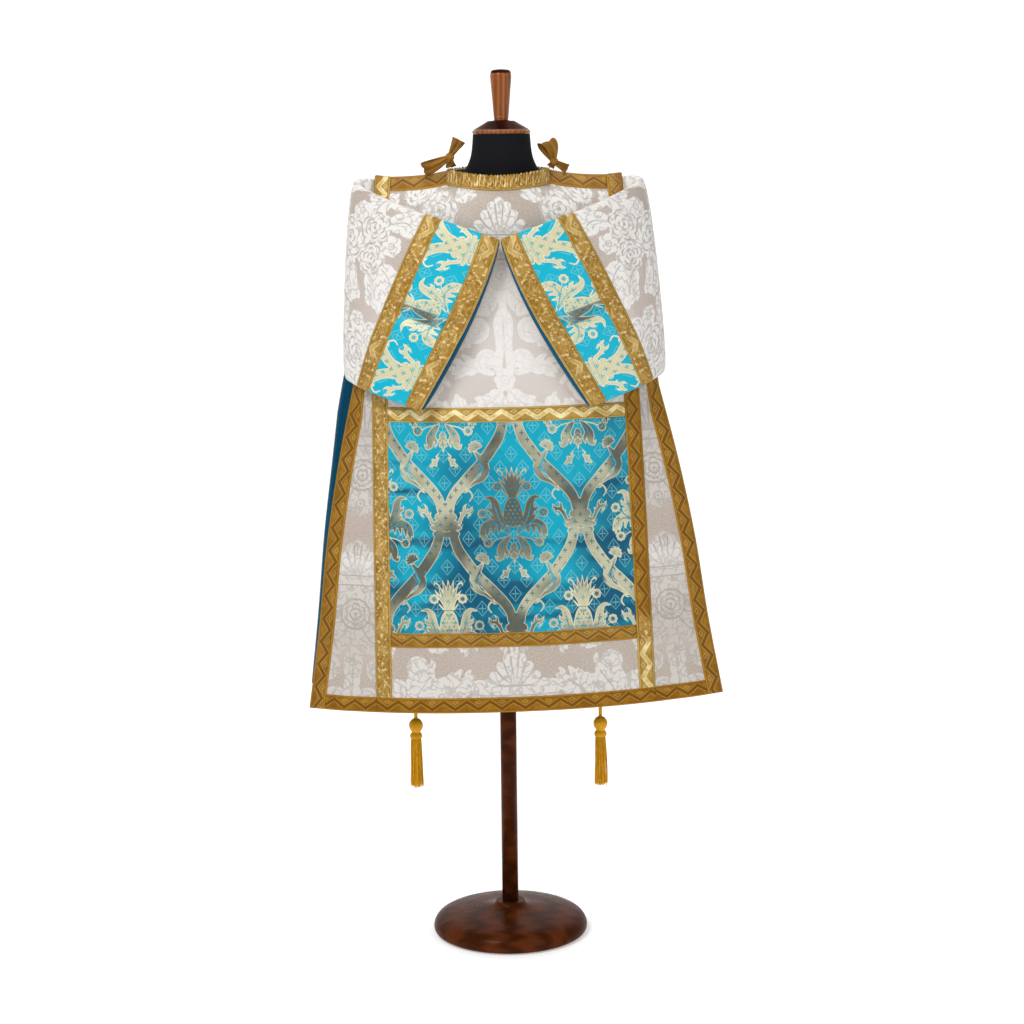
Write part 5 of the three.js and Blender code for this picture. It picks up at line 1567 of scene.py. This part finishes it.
def add_sleeve(side):
    """A sleeve with its lining, its lampas band and the two braids of its cuff."""
    points, normals, drop = sleeve_grid(side, 0, 1, 190, 330)
    run = arc(points, 0)
    # Painted light: the satin is brightest in a band some 260 mm below the upper fold, and ripples along the
    # sleeve.
    glare = 0.1 + 0.35 * np.exp(-(((drop - 260) / 110) ** 2)) + 0.15 * np.sin(run / 29)
    fields = damask_fields(run - 30, 142 - drop, glare)
    fields["motif"] = fields["motif"] + MOTIF_SPREAD
    sleeve = cloth(f"tunicle_sleeve_{side}", points, normals, -CLOTH, 0.0, DAMASK, fields, wrap=True)
    put_in_place(sleeve, f"sleeve_{side}")
    points, normals, drop = sleeve_grid(side, LINING_FROM, 1, 40, 96)
    flat = flat_place(arc(points, 0), drop)
    node = f"sleeve_lining_{side}"
    made = [add_lining(f"sleeve_inside_{side}", points, normals, flat, node, wrap=True)]
    # The band's pattern is turned so that a pineapple lies across its middle.
    points, normals, drop = sleeve_grid(side, *BAND, 44, 300)
    run = arc(points, 0)
    v = run[-1:].max() * 0.5 - run
    # It is painted fully lit, but for a band of painted shade across the outer layer just below the
    # pineapple's axis.
    glare = 1.0 - 0.5 * np.exp(-(((drop - 178) / 9) ** 2)) * (drop > 0)
    fields = lampas_fields(drop - 162, v + 22, glare)
    label = f"lampas_cuff_{side}"
    band = cloth(label, points, normals, 0.0, BROCADE + SEAM, LAMPAS, fields, wrap=True)
    made.append(put_in_place(band, f"cuff_band_{side}"))
    for label, span in (("upper_braid", UPPER_BRAID), ("edge_braid", EDGE_BRAID)):
        points, normals, drop = sleeve_grid(side, *span, 9, 200)
        run = arc(points, 0)
        width = run[-1:]
        cross = (run - width / 2) * (BRAID / width)
        glare = 0.54 + 0.08 * np.sin(drop / 13) + 0.08 * np.sin(drop / 37 + 1)
        fields = {"flat": flat_place(drop, cross), "glare": glare}
        face = crowned(cross, BRAID_STAND)
        name = f"galloon_cuff_{label}_{side}"
        piece = cloth(name, points, normals, 0.0, face, GALLOON, fields, wrap=True)
        made.append(put_in_place(piece, f"cuff_{label}_{side}"))


for side in SIDES:
    add_sleeve(side)

# ---------------------------------------------------------------- Shoulder ties
# Bronze satin ribbons, knotted in a bow over each neck point. The knot draws them in, and they fan
# out to their ends in creases.
TIE_DEPTH = -7.0
# Each bow: its knot's x and height, and the end and the width of each strand.
TIES = {
    "left": (
        (106, 1517),
        [("loop", 92, 1555, 30), ("tail", 131, 1503, 19), ("strap", 99, 1507, 16)],
    ),
    "right": (
        (-91, 1528),
        [("tail", -73, 1560, 26), ("loop", -140, 1505, 25), ("strap", -89, 1509, 20)],
    ),
}
KNOT_RADIUS, LOOP_OPEN, TIE_THICK = 8.0, 9.0, 1.1
TIE_KNOT = [(0.1, -8), (5, -6.6), (7.6, -3), (8, 1), (6.6, 5), (4, 7.4), (0.1, 8)]
# The ribbon's bronze in a crease's painted shade and on its painted lit ridge.
SHADED_AND_LIT_BRONZE = (0.21, 0.08, 0.006, 1), (0.48, 0.23, 0.035, 1)
BRONZE_LIGHT = (0.55, 0.33, 0.09, 1)


def ribbon_material():
    """Satin with long creases, painted darker in their troughs and lighter on their ridges."""
    material, tree, bsdf = new_material("bronze_ribbon")
    place = cloth_place(tree)
    height, tone = woven(tree, place, 1500.0, 0.0)
    crease = noise(tree, stretched(tree, place, (20.0, 160.0, 1.0)), 1.0, 4.0)
    # Painted shade and highlight: each crease is darker in its trough and lighter on its ridge.
    colour = blend_colours(tree, between(tree, crease, 0.3, 0.7), *SHADED_AND_LIT_BRONZE)
    colour = blend_colours(tree, times(tree, tone, 0.3), colour, BRONZE_LIGHT)
    bump = maths(tree, "MULTIPLY_ADD", crease, 2.0, height)
    bsdf.inputs["Metallic"].default_value = 0.25
    surface(tree, bsdf, colour, 0.42, bump, 0.0008, Specular_IOR_Level=0.1)
    return material


RIBBON = ribbon_material()


def ribbon_strand(knot, form, x, z, width):
    """Points, normals and flat place of one strand's grid, from the knot to its end."""
    start = np.array([knot[0], TIE_DEPTH, knot[1]], float)
    reach = np.array([x - knot[0], 0, z - knot[1]], float)
    across = np.array([-reach[2], 0, reach[0]]) / np.hypot(reach[0], reach[2])
    t = np.linspace(0, 1, 44)
    away = np.sin(math.pi * t) if form == "loop" else t
    side = LOOP_OPEN * np.sin(2 * math.pi * t) if form == "loop" else 3 * np.sin(4 * t)
    open_way = (0.7, -0.7, 0) if form == "loop" else (0, -1, 0)
    spine = start + reach * away[:, None] + np.array(open_way) * side[:, None]
    wide = KNOT_RADIUS + (width - KNOT_RADIUS) * away
    w = np.linspace(-0.5, 0.5, 15)
    pleat = (1.6 - 0.5 * away)[:, None] * np.sin(w * 13 + 3.0 * t[:, None] + knot[0])
    pleat = pleat + 1.4 * np.sin(9 * t[:, None] + 5 * w) * away[:, None]
    grid = spine[:, None] + across * (w * wide[:, None])[..., None]
    ahead = np.gradient(spine, axis=0)
    face = np.cross(ahead, across)
    face /= np.linalg.norm(face, axis=1)[:, None]
    grid = grid + face[:, None] * pleat[..., None]
    flat = flat_place(t[:, None] * np.hypot(reach[0], reach[2]), w * wide[:, None])
    return grid, normals_of(grid, face[len(t) // 2]), flat


for side, (knot, strands) in TIES.items():
    parts = []
    for form, x, z, width in strands:
        grid, normals, flat = ribbon_strand(knot, form, x, z, width)
        low, high = -TIE_THICK / 2, TIE_THICK / 2
        parts.append(cloth("strand", askew(grid), normals, low, high, RIBBON, {"flat": flat}, back=True))
    ball = turned_points(through(TIE_KNOT, 18), 30)
    twist = 1 + 0.07 * np.sin(5 * full_turn(30)) * np.cos(ball[..., 2] / 5)
    ball[..., :2] *= twist[..., None] * (1, 0.8)
    ball = askew(ball + (knot[0], TIE_DEPTH, knot[1]))
    fields = {"flat": ball.reshape(-1, 3) * 0.001}
    parts.append(mesh_of("knot", ball, tube_faces(18, 30), RIBBON, fields))
    tie = parts[0]
    with bpy.context.temp_override(active_object=tie, selected_editable_objects=parts, object=tie):
        bpy.ops.object.join()
    tie.name = f"shoulder_bow_{side}"
    put_in_place(tie, f"tie_{side}")

# ---------------------------------------------------------------- Studio
# A white floor of painted board that sweeps up into a backdrop, under a bright even sky. Large soft
# lamps stand in front on both sides and hang above, and aim at the garment.
FLOOR_HALF, SWEEP_START, SWEEP_RADIUS, WALL_TOP = 9000.0, 2600.0, 1800.0, 9000.0


def studio_material():
    material, tree, bsdf = new_material("studio_white")
    surface(tree, bsdf, (0.95, 0.95, 0.95, 1), 0.9, Emission_Color=(1, 1, 1, 1), Emission_Strength=0.34)
    return material


turn = np.linspace(0, math.pi / 2, 24)
sweep = [(-FLOOR_HALF, 0.0), (SWEEP_START, 0.0)]
sweep += [(SWEEP_START + SWEEP_RADIUS * math.sin(a), SWEEP_RADIUS * (1 - math.cos(a))) for a in turn[1:]]
sweep += [(SWEEP_START + SWEEP_RADIUS, WALL_TOP)]
both_sides = [np.column_stack([np.full(len(sweep), x), sweep]) for x in (-FLOOR_HALF, FLOOR_HALF)]
quads = [(2 * k, 2 * k + 1, 2 * k + 3, 2 * k + 2) for k in range(len(sweep) - 1)]
mesh_of("studio_floor", np.stack(both_sides, 1), quads, studio_material())

world = bpy.data.worlds.new("studio")
world.use_nodes = True
sky = world.node_tree.nodes["Background"].inputs
sky["Color"].default_value = (1, 1, 1, 1)
sky["Strength"].default_value = 0.42
bpy.context.scene.world = world


def lamp(name, place, aim, size, power):
    """A rectangular soft lamp. Its place, aim and size are metres."""
    data = bpy.data.lights.new(name, "AREA")
    data.shape, data.size, data.size_y, data.energy = "RECTANGLE", size[0], size[1], power
    obj = bpy.data.objects.new(name, data)
    bpy.context.scene.collection.objects.link(obj)
    obj.rotation_mode = "QUATERNION"
    obj.rotation_quaternion = Vector(np.subtract(place, aim)).to_track_quat("Z", "Y")
    obj.location = place


lamp("key", (-1.7, -2.6, 3.7), (0, 0, 1.0), (1.3, 1.0), 82)
lamp("fill", (2.6, -3.0, 2.0), (0, 0, 0.9), (1.8, 2.4), 26)
lamp("top", (0.0, 0.4, 3.8), (0, 0, 1.2), (2.4, 1.6), 24)
